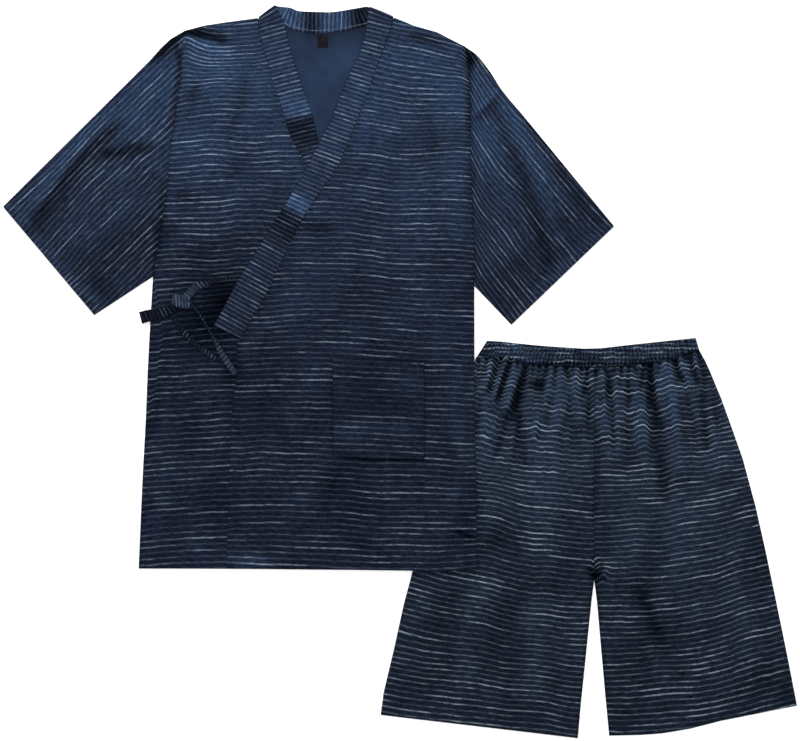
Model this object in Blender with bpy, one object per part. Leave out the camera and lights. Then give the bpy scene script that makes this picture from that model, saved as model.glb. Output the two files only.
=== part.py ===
"""Pyjama set laid out flat: a short-sleeved wrap jacket partly over a pair of knee shorts.

Lengths in the tables are millimetres. X runs to the right of the layout, Y runs to its top and Z is up.
The set rests on Z = 0 and its bounding box is centred on the origin.
"""
import math

import bmesh
import bpy
import numpy as np

MM = 0.001

# Driving sizes of the cloth
CLOTH = 1.0
GAP = 0.3
BAND = 2.0
LAYER = CLOTH + GAP
SEAM = GAP / 2
SEAM_STEP = 0.4

# Heights of the undersides of the layers, over the jacket's back
UNDER_LEVEL = LAYER
OVER_LEVEL = UNDER_LEVEL + BAND + GAP
POCKET_SLACK = 0.1

# The jacket's rise over the covered corner of the shorts: height, slack of the fronts, runs of the slopes
SHORTS_STACK = 2 * LAYER + GAP
RAMP_SLACK = 0.35
RAMP_RUN = (2.0, 92.0)
SLACK_RUN = (92.0, 180.0)
RAMP_TOP = (25.0, 125.0)
SLACK_TOP = (125.0, 200.0)

# Where folds fade out: beside a covered edge, round the tie, beside the pocket and at a leg's edges
EDGE_FADE = (3.0, 30.0)
OVER_RUN = (8.0, 58.0)
TIE_CENTRE = (-278.0, 55.0)
TIE_FADE = (62.0, 92.0)
POCKET_FADE = (28.0, 56.0)
LEG_FADE = (2.0, 26.0)
COVERED_X = (108.0, 126.0)
COVERED_Y = (282.0, 300.0)

# Fullness of the shorts below the gathered waist
PUFF_HEIGHT = 1.6
PUFF_TOP = (-10.0, 30.0)
PUFF_END = (-300.0, -120.0)

# Grid sizes of the panels
OVER_GRID = (18, 30)
UNDER_GRID = (12, 22)
BACK_GRID = (16, 20)
SLEEVE_ROWS = 12
SLEEVE_FINE = 60
SHORTS_FRONT_GRID = (18, 20)
SHORTS_BACK_GRID = (6, 8)
POCKET_GRID = (8, 8)
WAIST_GATHERS = 56
WAIST_BACK_COLUMNS = 28

# Waistband wall between two gathers, and the height of a gather from the top edge to the seam
GATHER_BASE = 1.1
GATHER_RISE = (0.9, 1.7, 1.7, 0.9)

# Jacket edges as (x, y), each from the top down
ARMHOLE_RIGHT = ((-302, 477), (-306, 440), (-308, 412), (-315, 360), (-321, 315), (-325, 265), (-335, 200),
                 (-346, 133))
ARMHOLE_LEFT = ((92, 454.5), (96, 428), (98, 400), (98, 350), (99, 300), (101, 240), (104, 180), (104, 120))
SIDE_RIGHT = ((-346, 133), (-351, 45), (-353, 5), (-355.5, -60), (-360, -140), (-363, -205),
              (-366, -276))
SIDE_LEFT = ((104, 120), (104, 20), (104, -45), (106, -150), (108, -274))
FREE_EDGE_UNDER = ((-19, 42), (-15, -276))
FREE_EDGE_OVER = ((-228, 42), (-229, -6), (-236, -69), (-243, -276))
HEM_UNDER = ((-366, -276), (-15, -276))
HEM_OVER = ((-243, -276), (20, -278.5), (70, -279), (108, -274))
HEM_BACK = ((-366, -276), (20, -277.5), (70, -278), (108, -274))

# Sleeve edges as (x, y), each from the armhole out, and the cuffs from the top down
FOLD_RIGHT = ((-302, 477), (-321, 466), (-335, 453), (-350, 436), (-556, 231))
UNDERARM_RIGHT = ((-346, 133), (-428, 79))
CUFF_RIGHT = ((-556, 231), (-428, 79))
FOLD_LEFT = ((92, 454.5), (106, 445), (113, 437.5), (127, 419), (141, 396.5), (154, 380), (169, 363),
             (300, 203.5))
UNDERARM_LEFT = ((104, 120), (156, 65.5))
CUFF_LEFT = ((300, 203.5), (156, 65.5))

# Collar band, front stretches and back stretch: free edge x and y, seam edge x and y, underside height
BAND_UNDER = (
    (15, 64, -21, 46, 1.3), (10, 78, -27, 64, 1.3), (-16, 141, -52, 134, 1.3), (-47, 204, -82, 197, 1.3),
    (-76, 260, -111, 253, 1.3), (-104, 306, -141, 307, 1.3), (-113, 321, -147, 318, 1.3),
    (-119, 343, -154, 331, 1.3), (-125, 365, -161, 354, 1.3), (-134, 391, -168, 378, 1.3),
    (-141, 412, -177, 402, 1.3), (-149, 438, -184, 428, 1.7), (-157, 465, -192, 456, 2.3),
    (-163, 490, -198, 482, 2.3))
BAND_BACK = (
    (-167, 511, -196.5, 493.5, 0.0), (-154, 509.5, -164, 485, 0.0), (-142, 505, -146, 478, 0.0),
    (-124, 504, -125, 474, 0.0), (-109, 503.5, -109, 474, 0.0), (-94, 503.5, -95, 476, 0.0),
    (-71, 507, -70, 479, 0.0), (-51, 510.5, -32, 488, 0.0), (-45.5, 511, -11, 495.5, 0.0))
BAND_OVER = (
    (-46, 488, -12, 484, 2.3), (-50, 466, -20, 461, 2.3), (-57, 445, -27, 441, 1.9),
    (-67, 424, -36, 417, 1.3), (-77, 402, -45, 391, 1.3), (-87, 375, -55, 364, 1.3),
    (-98, 349, -65, 340, 1.3), (-113, 321, -74, 316, 1.3), (-128, 290, -88, 286, 1.3),
    (-146, 258, -106, 260, 1.3), (-172, 216, -136, 214, 1.3), (-202, 167, -163, 160, 1.3),
    (-228, 125, -192, 99, 1.3), (-248, 87, -205, 79, 1.3), (-261, 64, -222, 46, 1.3))
FOLD_STEPS = 4
SHOULDER_RIGHT = (-201.5, 495.6)
SHOULDER_LEFT = (-4.5, 496.5)
SHOULDER_LINE_RIGHT = ((-302, 477), (-276, 484), (-240, 489.5), SHOULDER_RIGHT)
SHOULDER_LINE_LEFT = (SHOULDER_LEFT, (19, 484.5), (52, 475), (92, 454.5))
BAND_FOLD_RIGHT = (-173.5, 511.9, -197.6, 494.2)
BAND_FOLD_LEFT = (-43.5, 509.3, -9.5, 495.6)

# The edges of the panels that the band is sewn to, from the top down, and the back's from left to right
BAND_SEAM_UNDER = (SHOULDER_RIGHT,) + tuple((row[2] - SEAM_STEP, row[3]) for row in reversed(BAND_UNDER))
BAND_SEAM_OVER = (SHOULDER_LEFT,) + tuple((row[2] + SEAM_STEP, row[3]) for row in BAND_OVER)
NECK_LINE = tuple((row[2], row[3] - SEAM_STEP) for row in BAND_BACK)
BACK_NECK_SEAM = (SHOULDER_RIGHT,) + NECK_LINE + (SHOULDER_LEFT,)

# Outer limit of what lies below the over front, as (y, x), from the bottom up
UNDER_LIMIT = ((-290, 42), (50, 42), (64, 15), (141, -16), (204, -47), (260, -76), (321, -113), (520, -113))
# Visible edge of the under front, as (y, x), from the bottom up
VISIBLE_LIMIT = ((-274, -243), (42, -228), (47, -240), (64, -262), (126, -228), (288, -130), (308, -142),
                 (330, -155), (379, -169), (428, -184), (456, -192), (495, -200))

# Patch pocket corners and lower edge, as (x, y)
POCKET_TOP = ((-94, 18), (34, 14))
POCKET_BOTTOM = ((-94, -116), (-70, -121), (-40, -124), (34, -124))
LABEL = (-115, 454, -101, 472)

# Folds on the cloth: start x and y, end x and y, width and height
RIGHT_FOLDS = (
    (-276, 458, -228, 384, 24, 3.4),
    (-300, 440, -302, 380, 12, 1.6),
    (-516, 222, -398, 360, 22, 3.2),
    (-455, 166, -356, 238, 24, 2.6),
    (-420, 290, -352, 350, 20, 2.4),
    (-318, 330, -322, 200, 16, 2.6),
    (-276, 320, -284, 170, 24, 2.2),
    (-222, 260, -236, 190, 20, 1.6),
    (-342, 60, -352, -70, 10, 1.6),
    (-318, -80, -326, -264, 24, 2.0),
    (-284, -130, -276, -264, 18, 1.4))
LEFT_FOLDS = (
    (34, 470, 52, 396, 22, 2.6),
    (66, 398, 84, 330, 22, 3.2),
    (150, 380, 226, 216, 18, 3.4),
    (120, 340, 164, 150, 16, 2.6),
    (78, 300, 84, 170, 16, 2.4),
    (-14, 350, -52, 220, 22, 2.2),
    (28, 280, 40, 70, 22, 2.2),
    (-120, 150, -146, 60, 22, 1.6),
    (84, 20, 90, -210, 16, 2.0),
    (-160, -60, -150, -262, 22, 2.0),
    (-30, -160, -24, -262, 24, 1.6))
SHORTS_FOLDS = (
    (124, 14, 116, -30, 9, 2.4),
    (147, 6, 130, -46, 9, 3.0),
    (170, -2, 148, -60, 9, 3.2),
    (196, -6, 186, -90, 11, 3.0),
    (226, -6, 222, -90, 11, 2.6),
    (252, -6, 252, -80, 9, 2.4),
    (283, -4, 283, -92, 11, 3.2),
    (310, -4, 306, -80, 10, 2.6),
    (334, -4, 344, -110, 12, 3.4),
    (386, 4, 394, -150, 15, 4.0),
    (411, 16, 424, -40, 9, 2.4),
    (440, -30, 452, -150, 14, 3.0),
    (152, -80, 130, -230, 20, 3.0),
    (214, -130, 210, -300, 22, 2.6),
    (120, -300, 90, -450, 24, 2.6),
    (196, -320, 190, -480, 22, 2.2),
    (330, -150, 330, -300, 22, 2.6),
    (404, -190, 420, -360, 24, 3.0),
    (350, -340, 380, -470, 20, 2.4),
    (470, -240, 500, -430, 22, 2.6))

# Shorts edges as (x, y), from the top down or from left to right
OUTSEAM_RIGHT = ((106, 18), (62, -132), (18, -279), (6, -323), (-9, -391), (-23, -450), (-27, -481))
OUTSEAM_LEFT = ((419, 30), (428, 14), (436, -4), (450, -38), (468, -88), (480, -122), (498, -189),
                (513, -256), (527, -323), (541, -391), (556, -468))
INSEAM_RIGHT = ((272, 5), (272, -291), (268, -323), (261, -391), (254, -458), (249, -513.5))
INSEAM_LEFT = ((272, 5), (272, -291), (276, -323), (282, -391), (288, -458), (293, -510))
WAIST_SEAM_RIGHT = ((106, 18), (128, 20), (145, 20), (162, 16), (182, 12), (225, 7), (272, 5))
WAIST_SEAM_LEFT = ((272, 5), (315, 7), (355, 12), (372, 17), (382, 20), (400, 25), (419, 30))
HEM_RIGHT = ((-27, -481), (249, -513.5))
HEM_LEFT = ((293, -510), (336, -509), (365, -507), (378, -505), (407, -500), (450, -489), (556, -468))
WAIST_TOP = ((122, 43), (141, 42), (182, 37.5), (204, 35.5), (257, 32), (281, 32.5), (315, 36.5),
             (371, 42.5), (414, 47))
HIDDEN_EDGE = ((106, 18), (18, -279))

# Tie stretches: x, y, height of the centre line, width across the ribbon, tilt of the ribbon in degrees
TIE_CLOTH = 1.2
TIE_TAIL = ((-363, 75, 4.4, 17, 0), (-352, 78, 4.6, 16.5, 0), (-340, 80, 5.2, 15.5, 4),
            (-330, 83, 6.0, 15, 8), (-324, 85, 6.6, 14, 10), (-318.6, 87.4, 6.8, 12, 10))
TIE_UPPER_LOOP = ((-296, 108, 8.4, 12, 22), (-289, 115, 9.4, 13, 34), (-280, 120, 9.8, 13, 48),
                  (-268, 124, 9.6, 12, 62), (-254, 127, 8.8, 10, 76), (-240, 129, 7.6, 7, 86),
                  (-229, 130, 6.4, 5, 90))
TIE_STRAP = ((-292.6, 96, 10.6, 10, 84), (-285, 86, 11.0, 11, 84), (-276, 73, 10.6, 12, 82),
             (-266, 56, 9.6, 12, 78), (-257, 40, 8.6, 12, 62), (-250, 26, 7.6, 11, 40),
             (-242, 14, 6.8, 10, 26), (-235, 3, 6.4, 9, 18), (-230.6, -4, 6.2, 8, 14))
TIE_LOWER_LOOP = ((-318, 80, 6.2, 9, 24), (-313, 70, 6.0, 9, 28), (-304, 57, 5.8, 9, 30),
                  (-294, 45, 5.7, 9, 32), (-281, 34, 5.6, 8, 32), (-268, 25, 5.4, 8, 30),
                  (-258, 17, 5.2, 7, 28))
KNOT_CENTRE = (-306, 98, 7.6)
KNOT_SIZE = (13.5, 10, 4.4)
KNOT_TURN = 38
KNOT_BLUNT = (0.7, 0.6)
KNOT_RINGS = 8
KNOT_SIDES = 12

NAVY = (0.020, 0.033, 0.070)
NAVY_BRIGHT = (0.026, 0.044, 0.092)
NAVY_DARK = (0.014, 0.021, 0.044)
NAVY_TEAL = (0.018, 0.033, 0.062)
LABEL_BLACK = (0.012, 0.012, 0.014)


def clear_scene():
    """Remove what a new file starts with."""
    for item in list(bpy.data.objects):
        bpy.data.objects.remove(item, do_unlink=True)


def cloth_material(name, colour, roughness=0.9):
    """Plain cloth in one colour."""
    material = bpy.data.materials.new(name + "_cloth")
    material.use_nodes = True
    shader = material.node_tree.nodes["Principled BSDF"]
    shader.inputs["Base Color"].default_value = (*colour, 1.0)
    shader.inputs["Roughness"].default_value = roughness
    shader.inputs["Metallic"].default_value = 0.0
    return material


def add_object(name, points, faces, colour):
    """Make one named object from points in millimetres."""
    mesh = bpy.data.meshes.new(name)
    mesh.from_pydata([tuple(float(value) * MM for value in point) for point in points], [], faces)
    mesh.materials.append(cloth_material(name, colour))
    mesh.update()
    piece = bpy.data.objects.new(name, mesh)
    bpy.context.scene.collection.objects.link(piece)
    return piece


def ease(value, start, end):
    """Run smoothly from 0 at start to 1 at end."""
    share = np.clip((value - start) / (end - start), 0.0, 1.0)
    return share * share * (3.0 - 2.0 * share)


def along(edge, count):
    """Spread count + 1 points along an edge, so that each of its own points is one of them."""
    points = np.array(edge, float)
    steps = np.hypot(*np.diff(points, axis=0).T)
    slots = np.round(np.concatenate(([0.0], np.cumsum(steps))) / steps.sum() * count)
    for index in range(1, len(slots)):
        slots[index] = max(slots[index], slots[index - 1] + 1)
    slots[-1] = count
    for index in range(len(slots) - 2, 0, -1):
        slots[index] = min(slots[index], slots[index + 1] - 1)
    places = np.arange(count + 1)
    return np.column_stack([np.interp(places, slots, points[:, axis]) for axis in range(2)])


def patch(left, right, top, bottom, grid):
    """Fill four edges with a grid. The sides run down, the ends run to the right."""
    columns, rows = grid
    left, right = along(left, rows), along(right, rows)
    top, bottom = along(top, columns), along(bottom, columns)
    top[0], top[-1], bottom[0], bottom[-1] = left[0], right[0], left[-1], right[-1]
    across = np.linspace(0.0, 1.0, columns + 1)[None, :, None]
    down = np.linspace(0.0, 1.0, rows + 1)[:, None, None]
    sides = (1 - across) * left[:, None] + across * right[:, None]
    ends = (1 - down) * top[None] + down * bottom[None]
    upper = (1 - across) * left[0] + across * right[0]
    lower = (1 - across) * left[-1] + across * right[-1]
    return sides + ends - (1 - down) * upper - down * lower


def shift(edge, step):
    """Move an edge sideways, for the gap at a seam."""
    return tuple((x + step, y) for x, y in edge)


def with_height(flat, height):
    """Add heights to a flat grid."""
    return np.concatenate((flat, np.broadcast_to(height, flat.shape[:2])[..., None]), axis=2)


def wall(name, under, over, colour):
    """Close two matching grids into one wall."""
    rows, columns = under.shape[:2]
    count = rows * columns
    index = np.arange(count).reshape(rows, columns)
    faces = []
    for row in range(rows - 1):
        for column in range(columns - 1):
            corner = (index[row, column], index[row + 1, column], index[row + 1, column + 1],
                      index[row, column + 1])
            top = [int(place) + count for place in corner]
            low = [int(place) for place in reversed(corner)]
            faces += [(top[0], top[1], top[2]), (top[0], top[2], top[3])]
            faces += [(low[3], low[1], low[2]), (low[3], low[0], low[1])]
    rim = list(index[:, 0]) + list(index[-1, 1:]) + list(index[-2::-1, -1]) + list(index[0, -2:0:-1])
    for place, here in enumerate(rim):
        there = rim[(place + 1) % len(rim)]
        faces.append((int(here), int(there), int(there) + count, int(here) + count))
    points = np.concatenate((under.reshape(-1, 3), over.reshape(-1, 3)))
    return add_object(name, points, faces, colour)


def line_fold(x, y, row):
    """Height of one soft fold along a line."""
    x0, y0, x1, y1, width, height = row
    length = math.hypot(x1 - x0, y1 - y0)
    along_x, along_y = (x1 - x0) / length, (y1 - y0) / length
    place = (x - x0) * along_x + (y - y0) * along_y
    aside = (x - x0) * along_y - (y - y0) * along_x
    fade = ease(place, -width, width) * (1.0 - ease(place, length - width, length + width))
    return height * np.exp(-(aside / width) ** 2) * fade


def folds(x, y, table):
    """Height of all the folds of a table."""
    return sum(line_fold(x, y, row) for row in table)


def from_shorts(x, y):
    """Distance from the edge of the shorts that the jacket hides."""
    (x0, y0), (x1, y1) = HIDDEN_EDGE
    length = math.hypot(x1 - x0, y1 - y0)
    return ((x - x0) * (y1 - y0) - (y - y0) * (x1 - x0)) / length


def shorts_ramp(x, y):
    """Height of the jacket's back over the corner of the shorts that it covers."""
    return SHORTS_STACK * (1.0 - ease(from_shorts(x, y), *RAMP_RUN)) * (1.0 - ease(y, *RAMP_TOP))


def front_ramp(x, y):
    """The same for the fronts, which are a little looser where the back bends."""
    slack = RAMP_SLACK * (1.0 - ease(from_shorts(x, y), *SLACK_RUN)) * (1.0 - ease(y, *SLACK_TOP))
    return shorts_ramp(x, y) + slack


def over_level(x, y):
    """Height of the over front's underside: over the other front, then down beside it."""
    limit = np.interp(y, [row[0] for row in UNDER_LIMIT], [row[1] for row in UNDER_LIMIT])
    share = 1.0 - ease(x - limit, *OVER_RUN)
    return UNDER_LEVEL + (OVER_LEVEL - UNDER_LEVEL) * share


def right_folds(x, y):
    """Folds of the under front and its sleeve, none of them under the other front or the tie."""
    limit = np.interp(y, [row[0] for row in VISIBLE_LIMIT], [row[1] for row in VISIBLE_LIMIT])
    clear_of_tie = ease(np.hypot(x - TIE_CENTRE[0], y - TIE_CENTRE[1]), *TIE_FADE)
    return folds(x, y, RIGHT_FOLDS) * ease(limit - x, *EDGE_FADE) * clear_of_tie


def left_folds(x, y):
    """Folds of the over front and its sleeve, none of them at the band or under the pocket."""
    seam = BAND_SEAM_OVER + FREE_EDGE_OVER
    limit = np.interp(-y, [-row[1] for row in seam], [row[0] for row in seam])
    (x0, y1), (x1, y0) = POCKET_TOP[0], POCKET_BOTTOM[-1]
    aside = np.abs(x - (x0 + x1) / 2) - (x1 - x0) / 2
    beside = np.maximum(aside, np.abs(y - (y0 + y1) / 2) - (y1 - y0) / 2)
    return folds(x, y, LEFT_FOLDS) * ease(x - limit, *EDGE_FADE) * ease(beside, *POCKET_FADE)


def shorts_folds(x, y):
    """Folds of the shorts' front, kept flat at the edges and under the jacket."""
    covered = np.minimum(ease(x, *COVERED_X) + ease(-y, *COVERED_Y), 1.0)
    right_leg, left_leg = OUTSEAM_RIGHT[::-1], OUTSEAM_LEFT[::-1]
    outer_right = np.interp(y, [row[1] for row in right_leg], [row[0] for row in right_leg])
    outer_left = np.interp(y, [row[1] for row in left_leg], [row[0] for row in left_leg])
    edges = ease(x - outer_right, *LEG_FADE) * ease(outer_left - x, *LEG_FADE)
    puff = PUFF_HEIGHT * ease(-y, *PUFF_TOP) * ease(y, *PUFF_END)
    return (folds(x, y, SHORTS_FOLDS) + puff) * covered * edges


def jacket_back():
    """The back, flat on the surface, and over the corner of the shorts."""
    left = shift(ARMHOLE_RIGHT, SEAM) + SIDE_RIGHT[1:]
    right = shift(ARMHOLE_LEFT, -SEAM) + SIDE_LEFT[1:]
    top = SHOULDER_LINE_RIGHT[:-1] + BACK_NECK_SEAM + SHOULDER_LINE_LEFT[1:]
    flat = patch(left, right, top, HEM_BACK, BACK_GRID)
    under = shorts_ramp(flat[..., 0], flat[..., 1])
    return wall("jacket_back", with_height(flat, under), with_height(flat, under + CLOTH), NAVY)


def front_under():
    """The wearer's right front, which runs on below the other one."""
    left = shift(ARMHOLE_RIGHT, SEAM) + SIDE_RIGHT[1:]
    right = BAND_SEAM_UNDER + FREE_EDGE_UNDER
    flat = patch(left, right, SHOULDER_LINE_RIGHT, HEM_UNDER, UNDER_GRID)
    x, y = flat[..., 0], flat[..., 1]
    under = UNDER_LEVEL + front_ramp(x, y) + right_folds(x, y)
    return wall("front_under", with_height(flat, under), with_height(flat, under + CLOTH), NAVY)


def front_over():
    """The wearer's left front, wrapped over the right one."""
    left = BAND_SEAM_OVER + FREE_EDGE_OVER
    right = shift(ARMHOLE_LEFT, -SEAM) + SIDE_LEFT[1:]
    flat = patch(left, right, SHOULDER_LINE_LEFT, HEM_OVER, OVER_GRID)
    x, y = flat[..., 0], flat[..., 1]
    under = over_level(x, y) + front_ramp(x, y) + left_folds(x, y)
    return wall("front_over", with_height(flat, under), with_height(flat, under + CLOTH), NAVY)


def patch_pocket():
    """The pocket, one gap over the front that carries it."""
    side = ((POCKET_TOP[0], POCKET_BOTTOM[0]), (POCKET_TOP[1], POCKET_BOTTOM[-1]))
    flat = patch(side[0], side[1], POCKET_TOP, POCKET_BOTTOM, POCKET_GRID)
    x, y = flat[..., 0], flat[..., 1]
    under = over_level(x, y) + front_ramp(x, y) + left_folds(x, y) + LAYER + POCKET_SLACK
    return wall("patch_pocket", with_height(flat, under), with_height(flat, under + CLOTH), NAVY_DARK)


def neck_label():
    """The label, bare, on the inside of the back."""
    x0, y0, x1, y1 = LABEL
    left, right = ((x0, y1), (x0, y0)), ((x1, y1), (x1, y0))
    flat = patch(left, right, ((x0, y1), (x1, y1)), ((x0, y0), (x1, y0)), (1, 1))
    return wall("neck_label", with_height(flat, LAYER), with_height(flat, LAYER + CLOTH), LABEL_BLACK)


def sleeve(name, armhole, cuff, fold, underarm, height):
    """A sleeve as a flattened tube, open at the armhole and at the cuff.

    Its points along the armhole are the body's own, with one more between each two on the upper side.
    """
    flat = patch(armhole, cuff, fold, underarm, (SLEEVE_ROWS, SLEEVE_FINE))
    own = [float(np.argmin(np.hypot(*(flat[:, 0] - place).T))) / SLEEVE_FINE for place in armhole[1:-1]]
    bend = LAYER + CLOTH
    middle = bend / 2
    outer, inner = [], []
    for row in range(SLEEVE_ROWS + 1):
        line = flat[:, row]
        width = np.hypot(*(line[-1] - line[0]))
        low_shares = [bend / width] + own + [1.0 - bend / width]
        shares = sorted(low_shares + [sum(pair) / 2 for pair in zip(low_shares, low_shares[1:])])
        edges = [line_point(line, share) for share in (0.0, 1.0, CLOTH / width, 1.0 - CLOTH / width)]
        top = [line_point(line, share) for share in shares]
        low = [line_point(line, share) for share in reversed(low_shares)]
        rises = [float(height(*place)) for place in top]
        outer.append([(*edges[0], middle)] + [(*place, bend + rise) for place, rise in zip(top, rises)]
                     + [(*edges[1], middle)] + [(*place, 0.0) for place in low])
        inner.append([(*edges[2], middle)] + [(*place, LAYER + rise) for place, rise in zip(top, rises)]
                     + [(*edges[3], middle)] + [(*place, CLOTH) for place in low])
    return tube(name, outer, inner, NAVY)


def line_point(line, share):
    """The place at a share of a line's run."""
    places = np.arange(len(line))
    return np.array([np.interp(share * places[-1], places, line[:, axis]) for axis in range(2)])


def tube(name, outer, inner, colour):
    """Close matching outer and inner rings into one open tube."""
    rows, sides = len(outer), len(outer[0])
    count = rows * sides
    faces = []
    for row in range(rows):
        for side in range(sides):
            turn = (side + 1) % sides
            here, next_side = row * sides + side, row * sides + turn
            if row in (0, rows - 1):
                faces.append((here, next_side, next_side + count, here + count))
            if row < rows - 1:
                down, next_down = here + sides, next_side + sides
                faces += [(here, down, next_down), (here, next_down, next_side)]
                faces += [(here + count, next_down + count, down + count),
                          (here + count, next_side + count, next_down + count)]
    points = [point for ring in outer for point in ring] + [point for ring in inner for point in ring]
    return facing_out(add_object(name, points, faces, colour))


def facing_out(piece):
    """Turn a closed body's faces outwards."""
    work = bmesh.new()
    work.from_mesh(piece.data)
    bmesh.ops.recalc_face_normals(work, faces=work.faces)
    work.to_mesh(piece.data)
    work.free()
    return piece


def strip(name, sections, colour):
    """Close a run of four-point sections into one strip with plain ends."""
    count = len(sections)
    faces = [(0, 1, 2, 3), tuple(4 * (count - 1) + side for side in (3, 2, 1, 0))]
    for row in range(count - 1):
        for side in range(4):
            here, turn = 4 * row + side, 4 * row + (side + 1) % 4
            faces += [(here, here + 4, turn + 4), (here, turn + 4, turn)]
    points = [point for section in sections for point in section]
    return facing_out(add_object(name, points, faces, colour))


def flat_section(row, low, high):
    """A section of the band: seam edge and free edge, at two heights."""
    free_x, free_y, seam_x, seam_y = row[:4]
    return [(seam_x, seam_y, low), (free_x, free_y, low), (free_x, free_y, high), (seam_x, seam_y, high)]


def band_fold(row, side):
    """The band's turn over the shoulder, as sections round the fold line."""
    free_x, free_y, seam_x, seam_y = row
    length = math.hypot(free_x - seam_x, free_y - seam_y)
    out_x, out_y = side * (seam_y - free_y) / length, side * (free_x - seam_x) / length
    middle = BAND + GAP / 2
    sections = []
    for step in range(FOLD_STEPS + 1):
        angle = math.pi * step / FOLD_STEPS
        ring = []
        for radius in (GAP / 2, GAP / 2 + BAND):
            lift, push = radius * math.cos(angle), radius * math.sin(angle)
            for x, y in ((seam_x, seam_y), (free_x, free_y)):
                ring.append((x + out_x * push, y + out_y * push, middle + lift))
        sections.append([ring[0], ring[1], ring[3], ring[2]])
    return sections


def collar_band():
    """One long band: up the under front, over the shoulder, round the back neck and down the over front."""
    sections = [flat_section(row, row[4], row[4] + BAND) for row in BAND_UNDER]
    sections += band_fold(BAND_FOLD_RIGHT, 1)
    for row in BAND_BACK:
        sections.append(flat_section(row, BAND, 0.0))
    sections += reversed(band_fold(BAND_FOLD_LEFT, -1))
    for row in BAND_OVER:
        free_x, free_y, seam_x, seam_y, base = row
        lift = []
        for x, y in ((seam_x, seam_y), (free_x, free_y)):
            lift.append(float(over_level(x, y)) - UNDER_LEVEL + float(front_ramp(x, y)) + base)
        sections.append([(seam_x, seam_y, lift[0]), (free_x, free_y, lift[1]),
                         (free_x, free_y, lift[1] + BAND), (seam_x, seam_y, lift[0] + BAND)])
    return strip("collar_band", sections, NAVY_BRIGHT)


def shorts_front(name, left, right, top, bottom):
    """A front panel of the shorts, with its pleats and folds."""
    flat = patch(left, right, top, bottom, SHORTS_FRONT_GRID)
    x, y = flat[..., 0], flat[..., 1]
    under = LAYER + shorts_folds(x, y)
    return wall(name, with_height(flat, under), with_height(flat, under + CLOTH), NAVY_TEAL)


def shorts_back(name, left, right, top, bottom):
    """A back panel of the shorts, flat on the surface."""
    flat = patch(left, right, top, bottom, SHORTS_BACK_GRID)
    return wall(name, with_height(flat, 0.0), with_height(flat, CLOTH), NAVY_TEAL)


def waistband_front():
    """The front of the waistband: fine gathers in two rows of stitching over a plain inside."""
    columns = 2 * WAIST_GATHERS
    seam = tuple((x, y + GAP) for x, y in WAIST_SEAM_RIGHT + WAIST_SEAM_LEFT[1:])
    flat = patch((WAIST_TOP[0], seam[0]), (WAIST_TOP[-1], seam[-1]), WAIST_TOP, seam, (columns, 3))
    under = with_height(flat, LAYER)
    ridge = np.arange(columns + 1) % 2
    rise = np.array(GATHER_RISE)[:, None] * ridge[None, :]
    return wall("waistband_front", under, with_height(flat, LAYER + GATHER_BASE + rise), NAVY_TEAL)


def waistband_back():
    """The back of the waistband, flat on the surface."""
    seam = tuple((x, y + GAP) for x, y in WAIST_SEAM_RIGHT + WAIST_SEAM_LEFT[1:])
    grid = (WAIST_BACK_COLUMNS, 1)
    flat = patch((WAIST_TOP[0], seam[0]), (WAIST_TOP[-1], seam[-1]), WAIST_TOP, seam, grid)
    return wall("waistband_back", with_height(flat, 0.0), with_height(flat, CLOTH), NAVY_TEAL)


def ribbon(name, table, colour):
    """A tie stretch: a thin strip that tilts as it runs."""
    rows = np.array(table, float)
    fine = np.linspace(0, len(rows) - 1, 2 * len(rows) - 1)
    rows = np.column_stack([np.interp(fine, np.arange(len(rows)), column) for column in rows.T])
    ways = np.gradient(rows[:, :3], axis=0)
    sections = []
    for (x, y, z, width, tilt), way in zip(rows, ways):
        way = way / np.linalg.norm(way)
        side = np.cross((0.0, 0.0, 1.0), way)
        side = side / np.linalg.norm(side)
        up = np.cross(way, side)
        angle = math.radians(tilt)
        across = side * math.cos(angle) + up * math.sin(angle)
        through = np.cross(way, across)
        centre = np.array((x, y, z))
        corners = ((-1, -1), (1, -1), (1, 1), (-1, 1))
        sections.append([tuple(centre + across * width / 2 * a + through * TIE_CLOTH / 2 * b)
                         for a, b in corners])
    return strip(name, sections, colour)


def tie_knot():
    """The knot, a round lump longer than it is wide."""
    turn = math.radians(KNOT_TURN)
    points, faces = [], []
    for ring in range(1, KNOT_RINGS):
        angle = math.pi * ring / KNOT_RINGS
        for side in range(KNOT_SIDES):
            round_angle = 2 * math.pi * side / KNOT_SIDES
            length = KNOT_SIZE[0] * math.copysign(abs(math.cos(angle)) ** KNOT_BLUNT[0], math.cos(angle))
            aside = KNOT_SIZE[1] * math.sin(angle) ** KNOT_BLUNT[1] * math.cos(round_angle)
            lift = KNOT_SIZE[2] * math.sin(angle) ** KNOT_BLUNT[1] * math.sin(round_angle)
            points.append((KNOT_CENTRE[0] + length * math.cos(turn) - aside * math.sin(turn),
                           KNOT_CENTRE[1] + length * math.sin(turn) + aside * math.cos(turn),
                           KNOT_CENTRE[2] + lift))
    for ring in range(KNOT_RINGS - 2):
        for side in range(KNOT_SIDES):
            here, beside = ring * KNOT_SIDES + side, ring * KNOT_SIDES + (side + 1) % KNOT_SIDES
            faces += [(here, beside, beside + KNOT_SIDES), (here, beside + KNOT_SIDES, here + KNOT_SIDES)]
    last = (KNOT_RINGS - 2) * KNOT_SIDES
    faces += [tuple(range(KNOT_SIDES)), tuple(last + side for side in reversed(range(KNOT_SIDES)))]
    return facing_out(add_object("tie_knot", points, faces, NAVY_BRIGHT))


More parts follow.
